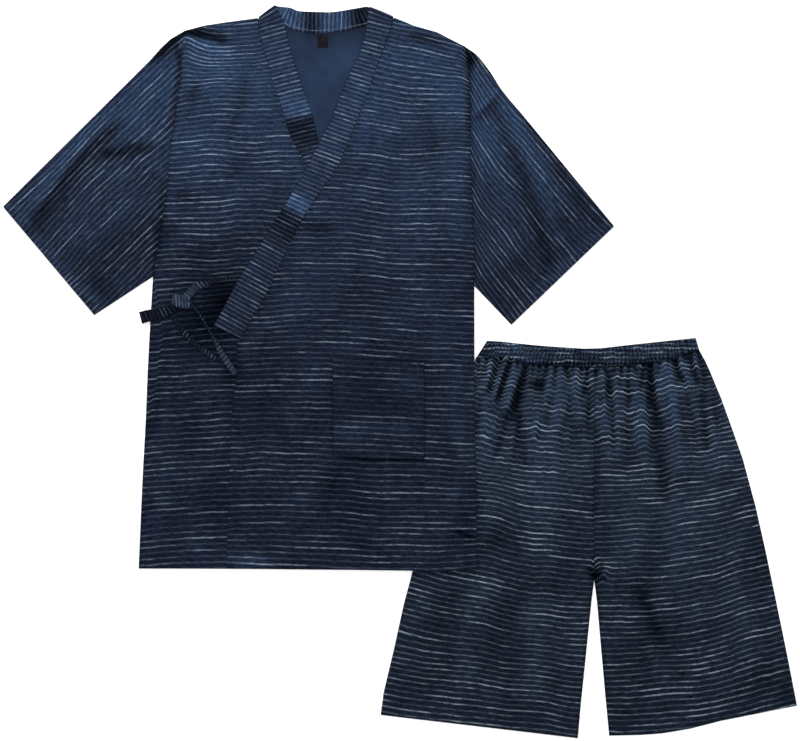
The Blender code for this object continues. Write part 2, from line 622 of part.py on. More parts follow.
def build_jacket():
    """All the pieces of the jacket."""
    jacket_back()
    front_under()
    front_over()
    sleeve("sleeve_right", shift(ARMHOLE_RIGHT, -SEAM), CUFF_RIGHT, FOLD_RIGHT, UNDERARM_RIGHT, right_folds)
    sleeve("sleeve_left", shift(ARMHOLE_LEFT, SEAM), CUFF_LEFT, FOLD_LEFT, UNDERARM_LEFT, left_folds)
    collar_band()
    patch_pocket()
    neck_label()
    ribbon("tie_tail", TIE_TAIL, NAVY_DARK)
    tie_knot()
    ribbon("tie_upper_loop", TIE_UPPER_LOOP, NAVY_BRIGHT)
    ribbon("tie_strap", TIE_STRAP, NAVY_BRIGHT)
    ribbon("tie_lower_loop", TIE_LOWER_LOOP, NAVY_DARK)


def build_shorts():
    """All the pieces of the shorts."""
    right = (OUTSEAM_RIGHT, shift(INSEAM_RIGHT, -SEAM), WAIST_SEAM_RIGHT, HEM_RIGHT)
    left = (shift(INSEAM_LEFT, SEAM), OUTSEAM_LEFT, WAIST_SEAM_LEFT, HEM_LEFT)
    shorts_front("shorts_front_right", *right)
    shorts_front("shorts_front_left", *left)
    shorts_back("shorts_back_right", *right)
    shorts_back("shorts_back_left", *left)
    waistband_front()
    waistband_back()


clear_scene()
build_jacket()
build_shorts()
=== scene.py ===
"""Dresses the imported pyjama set: striped cotton shells on its panels, tie, gathers, stitches, floor, light, camera.

The tables are in millimetres, as in the part's source: X runs to the right of the layout, Y to its top, Z up.
"""
import math
from functools import partial

import bpy
import numpy as np
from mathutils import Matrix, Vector

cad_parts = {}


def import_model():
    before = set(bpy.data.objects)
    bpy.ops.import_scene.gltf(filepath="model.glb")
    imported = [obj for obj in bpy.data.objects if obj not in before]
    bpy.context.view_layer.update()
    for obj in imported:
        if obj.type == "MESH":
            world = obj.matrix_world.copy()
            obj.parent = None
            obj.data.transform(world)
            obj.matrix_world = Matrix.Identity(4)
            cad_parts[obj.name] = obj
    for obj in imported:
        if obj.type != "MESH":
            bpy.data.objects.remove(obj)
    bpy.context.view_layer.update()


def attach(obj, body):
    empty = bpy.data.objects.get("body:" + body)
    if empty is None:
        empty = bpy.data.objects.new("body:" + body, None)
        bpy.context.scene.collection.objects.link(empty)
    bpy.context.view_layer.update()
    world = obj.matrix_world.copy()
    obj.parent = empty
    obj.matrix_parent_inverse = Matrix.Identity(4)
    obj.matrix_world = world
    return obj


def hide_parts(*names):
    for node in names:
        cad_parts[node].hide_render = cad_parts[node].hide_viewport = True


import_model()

MM = 0.001

# Sizes of the cloth and its layers, as in the part's source
CLOTH = 1.0
GAP = 0.3
BAND = 2.0
LAYER = CLOTH + GAP
SEAM = 0.03
SEAM_STEP = 0.05
UNDER_LEVEL = LAYER
OVER_LEVEL = UNDER_LEVEL + BAND + GAP
POCKET_SLACK = 0.1
SHORTS_STACK = 2 * LAYER + GAP
RAMP_SLACK = 0.35
RAMP_RUN = (2.0, 92.0)
SLACK_RUN = (92.0, 180.0)
RAMP_TOP = (25.0, 125.0)
SLACK_TOP = (125.0, 200.0)
EDGE_FADE = (3.0, 30.0)
OVER_RUN = (8.0, 58.0)
TIE_CENTRE = (-278.0, 55.0)
TIE_FADE = (62.0, 92.0)
POCKET_FADE = (28.0, 56.0)
LEG_FADE = (2.0, 26.0)
COVERED_X = (108.0, 126.0)
COVERED_Y = (282.0, 300.0)
PUFF_HEIGHT = 1.6
PUFF_TOP = (-10.0, 30.0)
PUFF_END = (-300.0, -120.0)
WAIST_GATHERS = 56
GATHER_BASE = 1.1
GATHER_RISE = 1.7

# Grids of the shells, columns and rows
OVER_GRID = (124, 270)
UNDER_GRID = (112, 260)
BACK_GRID = (36, 60)
SHORTS_GRID = (112, 210)
SHORTS_BACK_GRID = (24, 40)
POCKET_GRID = (44, 46)
LABEL_GRID = (10, 12)
WAIST_BACK_GRID = (112, 6)
SLEEVE_ROWS = 90
SLEEVE_UPPER = 110
SLEEVE_LOWER = 20
WAIST_COLUMNS = WAIST_GATHERS * 8
WAIST_ROWS = 22

# Rounding of a panel's edge, the rows next to it, small unevenness of the cloth with its lumps as share, size and
# turn, puckers beside a seam, and cells of the noise
EDGE_ROUND = 0.32
EDGE_WIDTH = 2.4
EDGE_ROWS = (0.5, 1.3, 2.6)
RUMPLE = 0.8
RUMPLE_LUMPS = ((0.6, (46, 26), 0), (0.3, (21, 13), 25), (0.1, (9, 6), 0))
PUCKER = 0.35
NOISE_CELLS = 97

# Small pleats of the shorts: where they fade out below the waist, height, rise of the stripes on them, their painted
# light and shade, mean, how they fan out, where they begin below the waist, and where they end at the top and above
# the crotch
PLEAT_END = (30.0, 210.0)
PLEAT_HEIGHT = 1.0
PLEAT_RISE = 4.6
PLEAT_TONE = 0.75
PLEAT_MEAN = 0.6
PLEAT_FAN = 0.0016
PLEAT_START = (0.0, 5.0)
PLEAT_HIGH = (-30.0, 10.0)
PLEAT_LOW = (-190.0, -60.0)

# Front of the waistband: how round its gathers and the channels between the stitches are, the gathers' mean height,
# the share of it in the grooves and at the smooth end, where this ends, the turned edges as depth, start and end,
# and the depth of the grooves
RIDGE_POWER = 0.8
CHANNEL_POWER = 0.55
UNEVEN_MEAN = 0.64
LOW_SHARE = 0.25
SMOOTH_END = (118.0, 144.0)
TURNED_TOP = (0.5, 0.0, 0.07)
TURNED_LOW = (0.25, 0.93, 1.0)
GROOVE_DEPTH = 0.35

# Tone of the waistband's front: its own, and the painted highlights on the gathers, the share of these in the
# grooves, how much darker it is at the smooth end, the painted shade at the turned top and in the grooves, its small
# noise, and how much darker the low row of gathers is, over which rows, from where, and the share and the place at
# which this fades
WAIST_TONE = -0.64
WAIST_RIDGE_TONE = 2.9
GROOVE_SHARE = 0.45
SMOOTH_SHADE = 0.6
TURNED_SHADE = (0.5, 0.0, 0.1)
GROOVE_SHADE = 0.5
WAIST_NOISE = 0.4
LOW_ROW_SHADE = 1.3
LOW_ROW = (0.62, 0.85)
LOW_ROW_START = (170, 220)
LOW_ROW_FADE = (0.6, 330, 380)

# Fine gathers at the waist seam: spacing, how they lean as they run down, where they fade out
# below it, their mean, and their painted light and shade with where this fades out
FINE_PITCH = 11.0
FINE_LEAN = 300.0
FINE_END = (8.0, 46.0)
FINE_MEAN = 0.4
FINE_TONE = (0.5, 8.0, 40.0)

# How much creases press the cloth down, and ridges lift it
PRESS = 0.6
PRESS_LIMIT = 0.95
RIDGE_RISE = 0.8

# Jacket edges as (x, y), each from the top down
ARMHOLE_RIGHT = ((-302, 477), (-306, 440), (-308, 412), (-315, 360), (-321, 315), (-325, 265), (-335, 200),
                 (-346, 133))
ARMHOLE_LEFT = ((92, 454.5), (96, 428), (98, 400), (98, 350), (99, 300), (101, 240), (104, 180), (104, 120))
SIDE_RIGHT = ((-346, 133), (-351, 45), (-353, 5), (-355.5, -60), (-360, -140), (-363, -205), (-366, -276))
SIDE_LEFT = ((104, 120), (104, 20), (104, -45), (106, -150), (108, -274))
FREE_EDGE_UNDER = ((-19, 42), (-15, -276))
FREE_EDGE_OVER = ((-228, 42), (-229, -6), (-236, -69), (-243, -276))
HEM_UNDER = ((-366, -276), (-15, -276))
HEM_OVER = ((-243, -276), (20, -278.5), (70, -279), (108, -274))
HEM_BACK = ((-366, -276), (20, -277.5), (70, -278), (108, -274))
FOLD_RIGHT = ((-302, 477), (-321, 466), (-335, 453), (-350, 436), (-556, 231))
SIDE_SEAM = ((-276, -354), (-60, -352), (-20, -342), (30, -336), (52, -332), (133, -346))
UNDERARM_RIGHT = ((-346, 133), (-428, 79))
CUFF_RIGHT = ((-556, 231), (-428, 79))
FOLD_LEFT = ((92, 454.5), (106, 445), (113, 437.5), (127, 419), (141, 396.5), (154, 380), (169, 363),
             (300, 203.5))
UNDERARM_LEFT = ((104, 120), (156, 65.5))
CUFF_LEFT = ((300, 203.5), (156, 65.5))

# Collar band: free edge x and y, seam edge x and y, underside height
BAND_UNDER = (
    (15, 64, -21, 46, 1.3), (10, 78, -27, 64, 1.3), (-16, 141, -52, 134, 1.3), (-47, 204, -82, 197, 1.3),
    (-76, 260, -111, 253, 1.3), (-104, 306, -141, 307, 1.3), (-113, 321, -147, 318, 1.3),
    (-119, 343, -154, 331, 1.3), (-125, 365, -161, 354, 1.3), (-134, 391, -168, 378, 1.3),
    (-141, 412, -177, 402, 1.3), (-149, 438, -184, 428, 1.7), (-157, 465, -192, 456, 2.3),
    (-163, 490, -198, 482, 2.3))
BAND_BACK = (
    (-167, 511, -196.5, 493.5, 0.0), (-154, 509.5, -164, 485, 0.0), (-142, 505, -146, 478, 0.0),
    (-124, 504, -125, 474, 0.0), (-109, 503.5, -109, 474, 0.0), (-94, 503.5, -95, 476, 0.0),
    (-71, 507, -70, 479, 0.0), (-51, 510.5, -32, 488, 0.0), (-45.5, 511, -11, 495.5, 0.0))
BAND_OVER = (
    (-46, 488, -12, 484, 2.3), (-50, 466, -20, 461, 2.3), (-57, 445, -27, 441, 1.9), (-67, 424, -36, 417, 1.3),
    (-77, 402, -45, 391, 1.3), (-87, 375, -55, 364, 1.3), (-98, 349, -65, 340, 1.3), (-113, 321, -74, 316, 1.3),
    (-128, 290, -88, 286, 1.3), (-146, 258, -106, 260, 1.3), (-172, 216, -136, 214, 1.3),
    (-202, 167, -163, 160, 1.3), (-228, 125, -192, 99, 1.3), (-248, 87, -205, 79, 1.3), (-261, 64, -222, 46, 1.3))
SHOULDER_RIGHT = (-199.0, 495.0)
SHOULDER_LEFT = (-8.2, 496.0)
SHOULDER_LINE_RIGHT = ((-302, 477), (-276, 484), (-240, 489.5), SHOULDER_RIGHT)
SHOULDER_LINE_LEFT = (SHOULDER_LEFT, (19, 484.5), (52, 475), (92, 454.5))
BAND_FOLD_RIGHT = (-173.5, 511.9, -197.6, 494.2)
BAND_FOLD_LEFT = (-43.5, 509.3, -9.5, 495.6)
UNDER_LIMIT = ((-290, 42), (50, 42), (64, 15), (141, -16), (204, -47), (260, -76), (321, -113), (520, -113))
VISIBLE_LIMIT = ((-274, -243), (42, -228), (47, -240), (64, -262), (126, -228), (288, -130), (308, -142),
                 (330, -155), (379, -169), (428, -184), (456, -192), (495, -200))
POCKET_TOP = ((-94, 18), (34, 14))
POCKET_BOTTOM = ((-94, -116), (-70, -121), (-40, -124), (34, -124))
POCKET_TACK = ((24, 16), (33, 2))
POCKET_SIDES = ((POCKET_TOP[0], POCKET_BOTTOM[0]), (POCKET_TOP[1], POCKET_BOTTOM[-1]))
POCKET_FULLNESS = 0.5
LABEL = (-115, 454, -101, 472)


def smooth_rows(rows, steps):
    """More rows between the given ones, on a smooth curve through them."""
    rows = np.array(rows, float)
    padded = np.vstack((2 * rows[0] - rows[1], rows, 2 * rows[-1] - rows[-2]))
    result = []
    for index in range(1, len(padded) - 2):
        before, here, there, after = padded[index - 1:index + 3]
        for share in np.arange(steps) / steps:
            result.append(0.5 * (2 * here + (there - before) * share
                                 + (2 * before - 5 * here + 4 * there - after) * share ** 2
                                 + (3 * here - before - 3 * there + after) * share ** 3))
    result.append(rows[-1])
    return np.array(result)


# The edges that the band is sewn to, on the band's own curve
BAND_STEPS = 9
BAND_SEAM_UNDER = (SHOULDER_RIGHT,) + tuple(
    (row[2] - SEAM_STEP, row[3]) for row in smooth_rows(BAND_UNDER, BAND_STEPS)[::-1])
BAND_SEAM_OVER = (SHOULDER_LEFT,) + tuple(
    (row[2] + SEAM_STEP, row[3]) for row in smooth_rows(BAND_OVER, BAND_STEPS))
BACK_NECK_SEAM = (SHOULDER_RIGHT,) + tuple(
    (row[2], row[3] - SEAM_STEP) for row in smooth_rows(BAND_BACK, BAND_STEPS)) + (SHOULDER_LEFT,)

# Folds on the cloth: start x and y, end x and y, width and height
RIGHT_FOLDS = (
    (-276, 458, -228, 384, 24, 3.4),
    (-300, 440, -302, 380, 12, 1.6),
    (-516, 222, -398, 360, 22, 3.2),
    (-455, 166, -356, 238, 24, 2.6),
    (-420, 290, -352, 350, 20, 2.4),
    (-318, 330, -322, 200, 16, 2.6),
    (-276, 320, -284, 170, 24, 2.2),
    (-222, 260, -236, 190, 20, 1.6),
    (-342, 60, -352, -70, 10, 1.6),
    (-318, -80, -326, -264, 24, 2.0),
    (-284, -130, -276, -264, 18, 1.4))
LEFT_FOLDS = (
    (34, 470, 52, 396, 22, 2.6),
    (66, 398, 84, 330, 22, 3.2),
    (150, 380, 226, 216, 18, 3.4),
    (120, 340, 164, 150, 16, 2.6),
    (78, 300, 84, 170, 16, 2.4),
    (-14, 350, -52, 220, 22, 2.2),
    (28, 280, 40, 70, 22, 2.2),
    (-120, 150, -146, 60, 22, 1.6),
    (84, 20, 90, -210, 16, 2.0),
    (-160, -60, -150, -262, 22, 2.0),
    (-30, -160, -24, -262, 24, 1.6))
SHORTS_FOLDS = (
    (124, 14, 116, -30, 9, 2.4),
    (147, 6, 130, -46, 9, 3.0),
    (170, -2, 148, -60, 9, 3.2),
    (196, -6, 186, -90, 11, 3.0),
    (226, -6, 222, -90, 11, 2.6),
    (252, -6, 252, -80, 9, 2.4),
    (283, -4, 283, -92, 11, 3.2),
    (310, -4, 306, -80, 10, 2.6),
    (334, -4, 344, -110, 12, 3.4),
    (386, 4, 394, -150, 15, 4.0),
    (411, 16, 424, -40, 9, 2.4),
    (440, -30, 452, -150, 14, 3.0),
    (152, -80, 130, -230, 20, 3.0),
    (214, -130, 210, -300, 22, 2.6),
    (120, -300, 90, -450, 24, 2.6),
    (196, -320, 190, -480, 22, 2.2),
    (330, -150, 330, -300, 22, 2.6),
    (404, -190, 420, -360, 24, 3.0),
    (350, -340, 380, -470, 20, 2.4),
    (470, -240, 500, -430, 22, 2.6))

# Sharp creases: start x and y, end x and y, half widths left and right of the run, depth; below 0 it is a ridge
RIGHT_CREASES = (
    (-346, 436, -306, 474, 9, 9, 2.6),
    (-304, 476, -270, 469, 11, 5.5, 3.2),
    (-270, 469, -240, 461, 9, 6, 2.4),
    (-312, 458, -308, 428, 5, 5, 1.9),
    (-308, 428, -313, 388, 5, 5, 1.4),
    (-313, 388, -322, 344, 6, 6, 1.1),
    (-322, 344, -332, 300, 6, 6, 0.8),
    (-309, 453, -299, 467, 3, 4, -2.6),
    (-299, 467, -266, 451, 3.5, 5, -2.4),
    (-266, 451, -236, 444, 4, 6, -1.2),
    (-286, 404, -290, 374, 8, 12, 1.0),
    (-290, 374, -296, 346, 8, 10, 0.4),
    (-215, 404, -219, 372, 9, 7, 1.0),
    (-222, 370, -242, 332, 12, 9, 0.9),
    (-222, 322, -240, 270, 12, 7, 0.5),
    (-522, 192, -482, 246, 9, 16, 1.0),
    (-482, 246, -438, 302, 9, 16, 1.2),
    (-438, 302, -388, 348, 9, 14, 1.2),
    (-530, 206, -483, 268, 12, 10, -0.55),
    (-483, 268, -436, 334, 12, 9, -0.6),
    (-418, 298, -346, 312, 10, 9, 1.3),
    (-422, 277, -372, 274, 9, 9, -0.4),
    (-366, 324, -338, 328, 9, 9, -0.4),
    (-330, 268, -342, 160, 8, 5, 0.6),
    (-312, 246, -276, 238, 9, 9, 0.6),
    (-430, 130, -400, 110, 9, 9, 0.4),
    (-440, 112, -415, 92, 7, 7, -0.5))
LEFT_CREASES = (
    (-16, 472, 30, 464, 12, 12, 0.8),
    (20, 470, 66, 456, 9, 14, 1.5),
    (92, 452, 104, 430, 9, 6, 2.0),
    (98, 438, 98, 330, 3, 5, 1.1),
    (60, 456, 92, 448, 4, 4, -0.4),
    (106, 354, 141, 388, 2, 10, 1.2),
    (103, 359, 137, 392, 3, 2.4, -2.4),
    (106, 350, 124, 298, 7, 6, -0.5),
    (124, 298, 154, 240, 7, 6, -0.45),
    (154, 240, 186, 178, 7, 6, -0.35),
    (130, 370, 150, 322, 8, 8, 0.8),
    (150, 322, 172, 276, 8, 8, 0.9),
    (172, 276, 186, 222, 9, 9, 0.8),
    (186, 222, 212, 148, 10, 10, 0.8),
    (158, 356, 189, 279, 7, 7, -0.55),
    (189, 279, 226, 184, 7, 7, -0.45),
    (180, 352, 212, 296, 9, 9, 0.7),
    (212, 296, 246, 244, 9, 9, 0.8),
    (246, 244, 284, 198, 9, 9, 0.7),
    (101, 285, 104, 245, 5, 8, 0.6),
    (40, 360, 52, 300, 9, 12, 0.5),
    (-36, 330, -52, 268, 9, 9, 0.4),
    (-138, 210, -96, 200, 6, 12, 1.0),
    (68, -96, 72, -150, 14, 14, 0.5),
    (80, -224, 108, -234, 2, 5, 1.5),
    (78, -219, 108, -220, 2, 2, -1.0),
    (-100, -136, -96, -170, 14, 14, 0.5),
    (-70, -238, -40, -252, 14, 14, 0.5),
    (-168, -60, -160, -120, 12, 12, 0.35))
SHORTS_CREASES = (
    (124, 21, 115, -12, 5, 5, 0.9),
    (141, 23, 125, -33, 4, 6, 1.5),
    (159, 21, 139, -43, 4, 7, 1.7),
    (178, 14, 164, -54, 4, 7, 1.7),
    (164, -54, 169, -99, 7, 7, 1.1),
    (169, -99, 177, -138, 8, 8, 0.7),
    (190, -14, 190, -30, 8, 8, 1.1),
    (205, 14, 199, -33, 5, 5, 0.9),
    (219, 14, 216, -24, 4, 4, 0.7),
    (232, 13, 239, -18, 6, 5, 1.5),
    (250, 13, 249, -24, 4, 4, 0.7),
    (262, 13, 260, -36, 4, 5, 0.9),
    (278, 13, 278, -22, 4, 4, 0.6),
    (293, 13, 294, -40, 5, 5, 1.0),
    (308, 13, 308, -26, 4, 4, 0.7),
    (322, 14, 323, -47, 6, 5, 1.0),
    (338, 16, 340, -26, 4, 5, 1.1),
    (348, 16, 353, -47, 7, 5, 2.1),
    (357, -47, 364, -92, 8, 6, 1.8),
    (364, -92, 371, -180, 9, 8, 1.1),
    (383, 22, 397, -19, 5, 5, 2.1),
    (403, 26, 419, -20, 5, 6, 2.0),
    (419, 30, 429, -16, 4, 5, 1.2),
    (424, -20, 431, -110, 6, 7, 1.2),
    (440, -29, 446, -82, 6, 6, 0.6),
    (336, -306, 371, -390, 8, 12, 0.7),
    (148, 16, 131, -38, 3, 3, -0.5),
    (168, 12, 150, -46, 4, 4, -0.5),
    (240, -40, 238, -80, 8, 8, 0.4),
    (212, -36, 208, -84, 6, 6, 0.8),
    (226, -30, 224, -78, 5, 5, -0.5),
    (196, -44, 190, -96, 6, 6, -0.5),
    (150, -60, 138, -120, 6, 7, 0.8),
    (136, -60, 122, -126, 6, 6, -0.4),
    (116, -30, 100, -96, 6, 6, 0.8),
    (254, -44, 252, -100, 6, 6, -0.4),
    (266, -50, 265, -104, 5, 5, 0.6),
    (300, -50, 300, -110, 6, 6, 0.6),
    (312, -40, 314, -96, 6, 6, -0.4),
    (392, -40, 402, -110, 7, 7, 0.5),
    (281, -40, 281, -95, 5, 5, -0.5),
    (337, -40, 340, -105, 7, 7, -0.4),
    (373, 14, 380, -60, 7, 8, -0.6),
    (402, 20, 412, -20, 3, 4, -0.4),
    (264, -277, 273, -292, 3, 3, 1.3),
    (285, -276, 275, -292, 3, 3, 1.3),
    (300, -262, 284, -284, 5, 5, -0.5))

# Shorts edges as (x, y), from the top down or from left to right
OUTSEAM_RIGHT = ((106, 18), (62, -132), (18, -279), (6, -323), (-9, -391), (-23, -450), (-27, -481))
OUTSEAM_LEFT = ((419, 30), (428, 14), (436, -4), (450, -38), (468, -88), (480, -122), (498, -189), (513, -256),
                (527, -323), (541, -391), (556, -468))
INSEAM_RIGHT = ((272, 5), (272, -291), (268, -323), (261, -391), (254, -458), (249, -513.5))
INSEAM_LEFT = ((272, 5), (272, -291), (276, -323), (282, -391), (288, -458), (293, -510))
WAIST_SEAM_RIGHT = ((106, 18), (128, 20), (145, 20), (162, 16), (182, 12), (225, 7), (272, 5))
WAIST_SEAM_LEFT = ((272, 5), (315, 7), (355, 12), (372, 17), (382, 20), (400, 25), (419, 30))
WAIST_SEAM = WAIST_SEAM_RIGHT + WAIST_SEAM_LEFT[1:]
HEM_RIGHT = ((-27, -481), (249, -513.5))
HEM_LEFT = ((293, -510), (336, -509), (365, -507), (378, -505), (407, -500), (450, -489), (556, -468))
WAIST_TOP = ((122, 43), (141, 42), (182, 37.5), (204, 35.5), (257, 32), (281, 32.5), (315, 36.5), (371, 42.5),
             (414, 47))
HIDDEN_EDGE = (106, 18, 18, -279)
CENTRE_SEAM = 272

# Tie stretches: x, y, height of the centre line, width across the ribbon, tilt of the ribbon in degrees
TIE_CLOTH = 1.2
TIE_LEAST = 10.0
TIE_STEPS = 8
TIE_SIDES = 20
TIE_TAIL = ((-363, 75, 4.4, 17, 0), (-352, 78, 4.6, 16.5, 0), (-340, 80, 5.2, 15.5, 4), (-330, 83, 6.0, 15, 8),
            (-324, 85, 6.6, 14, 10), (-313, 91, 6.8, 11, 10))
TIE_UPPER_LOOP = ((-304, 101, 7.4, 11, 12), (-296, 107, 8.4, 12, 22), (-289, 115, 9.4, 13, 34),
                  (-280, 120, 9.8, 13, 48), (-268, 124, 9.6, 12, 62), (-254, 127, 8.8, 10, 76),
                  (-240, 129, 7.6, 7, 86), (-229, 130, 6.4, 5, 90))
TIE_STRAP = ((-297, 101, 10.2, 9, 76), (-285, 86, 11.0, 10, 77), (-276, 73, 10.6, 11, 76),
             (-266, 56, 9.6, 12, 72), (-257, 40, 8.6, 12, 58), (-250, 26, 7.6, 11, 40), (-242, 14, 6.8, 10, 26),
             (-235, 3, 6.4, 9, 18), (-230.6, -4, 6.2, 8, 14))
TIE_LOWER_LOOP = ((-318, 80, 6.2, 9, 24), (-313, 70, 6.0, 9, 28), (-304, 57, 5.8, 9, 30), (-294, 45, 5.7, 9, 32),
                  (-281, 34, 5.6, 8, 32), (-268, 25, 5.4, 8, 30), (-258, 17, 5.2, 7, 28))
KNOT_CENTRE = (-306, 98, 7.6)
KNOT_SIZE = (14.0, 9.0, 4.4)
KNOT_TURN = -14
KNOT_RINGS = 26
KNOT_SIDES = 32
KNOT_PITCH = 4.6
KNOT_SPAN = (0.04, 0.92)
KNOT_GROOVE = 0.10
KNOT_GROOVE_PLACE = (0.25, 0.2)
KNOT_GROOVE_WIDTH = 0.12

# Spacing of the stripes: on the body at y = 0 and its change with y, and on the other pieces
BODY_PITCH = 7.67
BODY_PITCH_CHANGE = 0.00318
SLEEVE_PITCH = 6.5
BAND_PITCH = 5.9
UNDER_BAND_SLOPE = ((60, 300, 500), (14, 13, 15))
OVER_BAND_SLOPE = ((60, 170, 300, 490), (-29, -28, -20, -14))
TIE_PITCH = 5.6
SHORTS_PITCH = (7.0, 7.4)
WAIST_PITCH = 6.0
WAIST_STRETCH = 2.2

# Steps by which a stripe's slope is followed, and the x of each front at which its rise is 0
TRACE_STEPS = 24
UNDER_ORIGIN = -350
OVER_ORIGIN = -150

# Peak of the stripes at each shoulder: height, x, half width and where it grows upwards; small waves of the
# stripes and the cloth, as tables of noises: height, size of the lumps, seed and turn; reach of a sleeve's bend
UNDER_PEAK = (9.0, -301, 19, 392, 452)
OVER_PEAK = (-9.0, 98, 8, 360, 440)
UNDER_WAVES = ((1.1, (34, 60), 91), (0.6, (12, 40), 92))
OVER_WAVES = ((1.0, (38, 60), 93), (0.6, (13, 40), 94))
SLEEVE_WAVES = ((3.4, (62, 40), 95), (1.0, (24, 22), 96))
SHORTS_WAVES = ((1.0, (30, 60), 97), (0.5, (11, 50), 98))
SLEEVE_BEND = 16.0
PLEAT_WAVES = ((0.8, (9.5, 110.0), 32), (0.55, (5.0, 50.0), 33))
GATHER_WAVES = ((0.5, (14, 11), 51), (0.3, (6, 30), 52))
MOTTLE = ((0.26, (70, 36), 71, 62), (0.10, (24, 13), 72, 75))

# More rise of the stripes on the shorts: a dip at the crotch and a rise beside it, as height, x, half width, y and
# half width, all of the left leg, and by the folds, the fine gathers and the creases
CROTCH_DIP = (-4.0, CENTRE_SEAM, 3.5, -270, 10)
CROTCH_RISE = (7.0, 283, 8, -284, 13)
LEFT_LEG_RISE = 2.2
FOLD_RISE = 0.9
FINE_RISE = 1.8
CREASE_RISE = -2.2

# Slope of the stripes in degrees, up to the right: x of the columns, then y and the slopes of each row
UNDER_SLOPE_X = (-350, -277, -241, -190)
UNDER_SLOPES = (
    (456, 6, -7, 3, 9), (383, 8, 10, -5, 5), (310, 8, 6, -8, 2), (237, 5, 1, 6, -2), (164, 6, -5, 8, -6),
    (92, 8, 6, 6, -6), (19, 2, 3, 2, 2), (-54, 6, 2, 1, 1), (-127, 6, 2, 1, -1), (-200, 6, 3, 2, -2),
    (-272, 5, 2, -2, -2))
OVER_SLOPE_X = (-240, -168, -95, -59, -22, 14, 50, 95)
OVER_SLOPES = (
    (456, 0, 0, 0, -2, -11, -12, -14, -14), (383, 0, 0, -8, -10, -10, -7, 2, -5),
    (310, 0, 0, -5, -5, -10, 1, 5, -5), (237, 0, -3, 2, -11, -7, 5, -2, -6), (164, 0, 2, -2, -5, -8, 0, -2, -4),
    (92, 0, 5, -2, -2, -5, -6, 0, -3), (19, 3, 2, -3, -3, -4, -5, -1, -4), (-54, 0, 1, -3, -5, -3, -2, -3, -3),
    (-127, 1, 0, -5, -2, -2, 0, -4, -2), (-200, 3, 0, -2, -6, -2, -1, -1, -2), (-272, -2, -2, -2, -3, 0, -1, 2, 5))
RIGHT_LEG_SLOPE_X = (14, 50, 87, 123, 160, 196, 232, 269)
RIGHT_LEG_SLOPES = (
    (19, -6, -6, -6, -5, -5, -5, -3, 0), (-54, -12, -12, -12, -13, -14, -10, -4, 0),
    (-127, -14, -14, -14, -12, -7, -5, -4, 0), (-200, -16, -14, -11, -8, -18, -6, -6, 0),
    (-272, -18, -15, -12, -11, -16, -7, -2, 0), (-345, -15, -12, -11, -14, -12, -6, -2, -1),
    (-418, -11, -5, -6, -9, -9, -6, -6, -4), (-491, -9, -4, -5, -6, -6, -7, -10, -10))
LEFT_LEG_SLOPE_X = (269, 305, 342, 378, 414, 451, 487, 524)
LEFT_LEG_SLOPES = (
    (19, 0, -3, -5, 0, 6, 8, 8, 8), (-54, 2, 1, -6, 6, 10, 9, 8, 8), (-127, 1, -6, 6, 14, 4, 11, 11, 11),
    (-200, 0, 3, 2, 10, 10, 14, 14, 15), (-272, 0, -1, 4, 4, 10, 18, 16, 15), (-345, 0, 0, 3, 3, 10, 18, 17, 16),
    (-418, 0, 2, 6, 4, 8, 14, 16, 16), (-491, 0, -1, 4, 3, 6, 13, 14, 14))

# Painted light down the cloth as (y, tone), brighter towards the top on the lamp's side, and places of painted light
# and shade, such as highlights on ridges and shadow under the tie: x, y, half lengths, turn, tone
JACKET_PAINTED_LIGHT = ((-280, 0.02), (-200, -0.05), (-50, -0.02), (60, 0.1), (180, 0.3), (300, 0.8), (400, 1.3),
               (480, 1.15))
JACKET_PAINTED_SPOTS = (
    (-265, 430, 36, 25, 0, 0.4), (-252, 388, 18, 28, 0, 0.4), (65, 148, 42, 26, 0, -0.22),
    (-290, 150, 80, 110, 0, -0.3), (-320, -120, 50, 130, 0, -0.15), (66, 387, 25, 25, 0, 0.2),
    (98, 436, 9, 13, 0, -1.2), (-35, 32, 20, 12, 0, -0.35), (-349, -188, 10, 9, 0, -0.4),
    (-22, -38, 30, 30, 0, -0.3),
    (90, -180, 10, 62, 0, -0.35), (-206, -265, 32, 9, 0, 1.1), (-268, 58, 40, 34, -40, -1.2),
    (-240, 98, 26, 26, 0, -1.9), (-236, 0, 16, 22, 0, -0.9), (-42, -194, 30, 35, 0, -0.35),
    (0, -180, 24, 24, 0, 0.25), (140, 412, 42, 9, -56, -0.8))
WAIST_PAINTED_SPOTS = ((162, 36, 12, 5, -10, 1.0), (248, 24, 8, 12, 0, -0.7), (272, 20, 5, 12, 0, -0.5))
SHORTS_PAINTED_LIGHT = ((-515, -0.05), (-300, -0.1), (-150, 0.1), (-60, 0.22), (30, 0.25))
SHORTS_PAINTED_SPOTS = (
    (325, -115, 15, 40, 0, -0.4), (354, -350, 10, 50, 25, -0.4), (378, -220, 20, 60, 0, 0.3),
    (344, -400, 14, 40, 0, -0.3), (448, -60, 14, 50, 16, 0.3), (385, -60, 16, 30, 0, 0.3),
    (273, -283, 6, 9, 0, -1.8), (271, -240, 7, 40, 0, 0.3),
    (367, 6, 9, 26, 0, 0.7), (166, 2, 8, 13, -30, 0.6), (194, 0, 7, 13, -20, 0.5), (254, -6, 6, 13, 0, 0.5),
    (283, -6, 6, 15, 0, 0.6), (333, -2, 7, 13, 0, 0.5), (394, 4, 6, 14, 20, 0.5))
POCKET_PAINTED_SPOTS = ((-35, -26, 30, 32, 0, -0.4), (-56, -70, 28, 22, 0, 0.1))
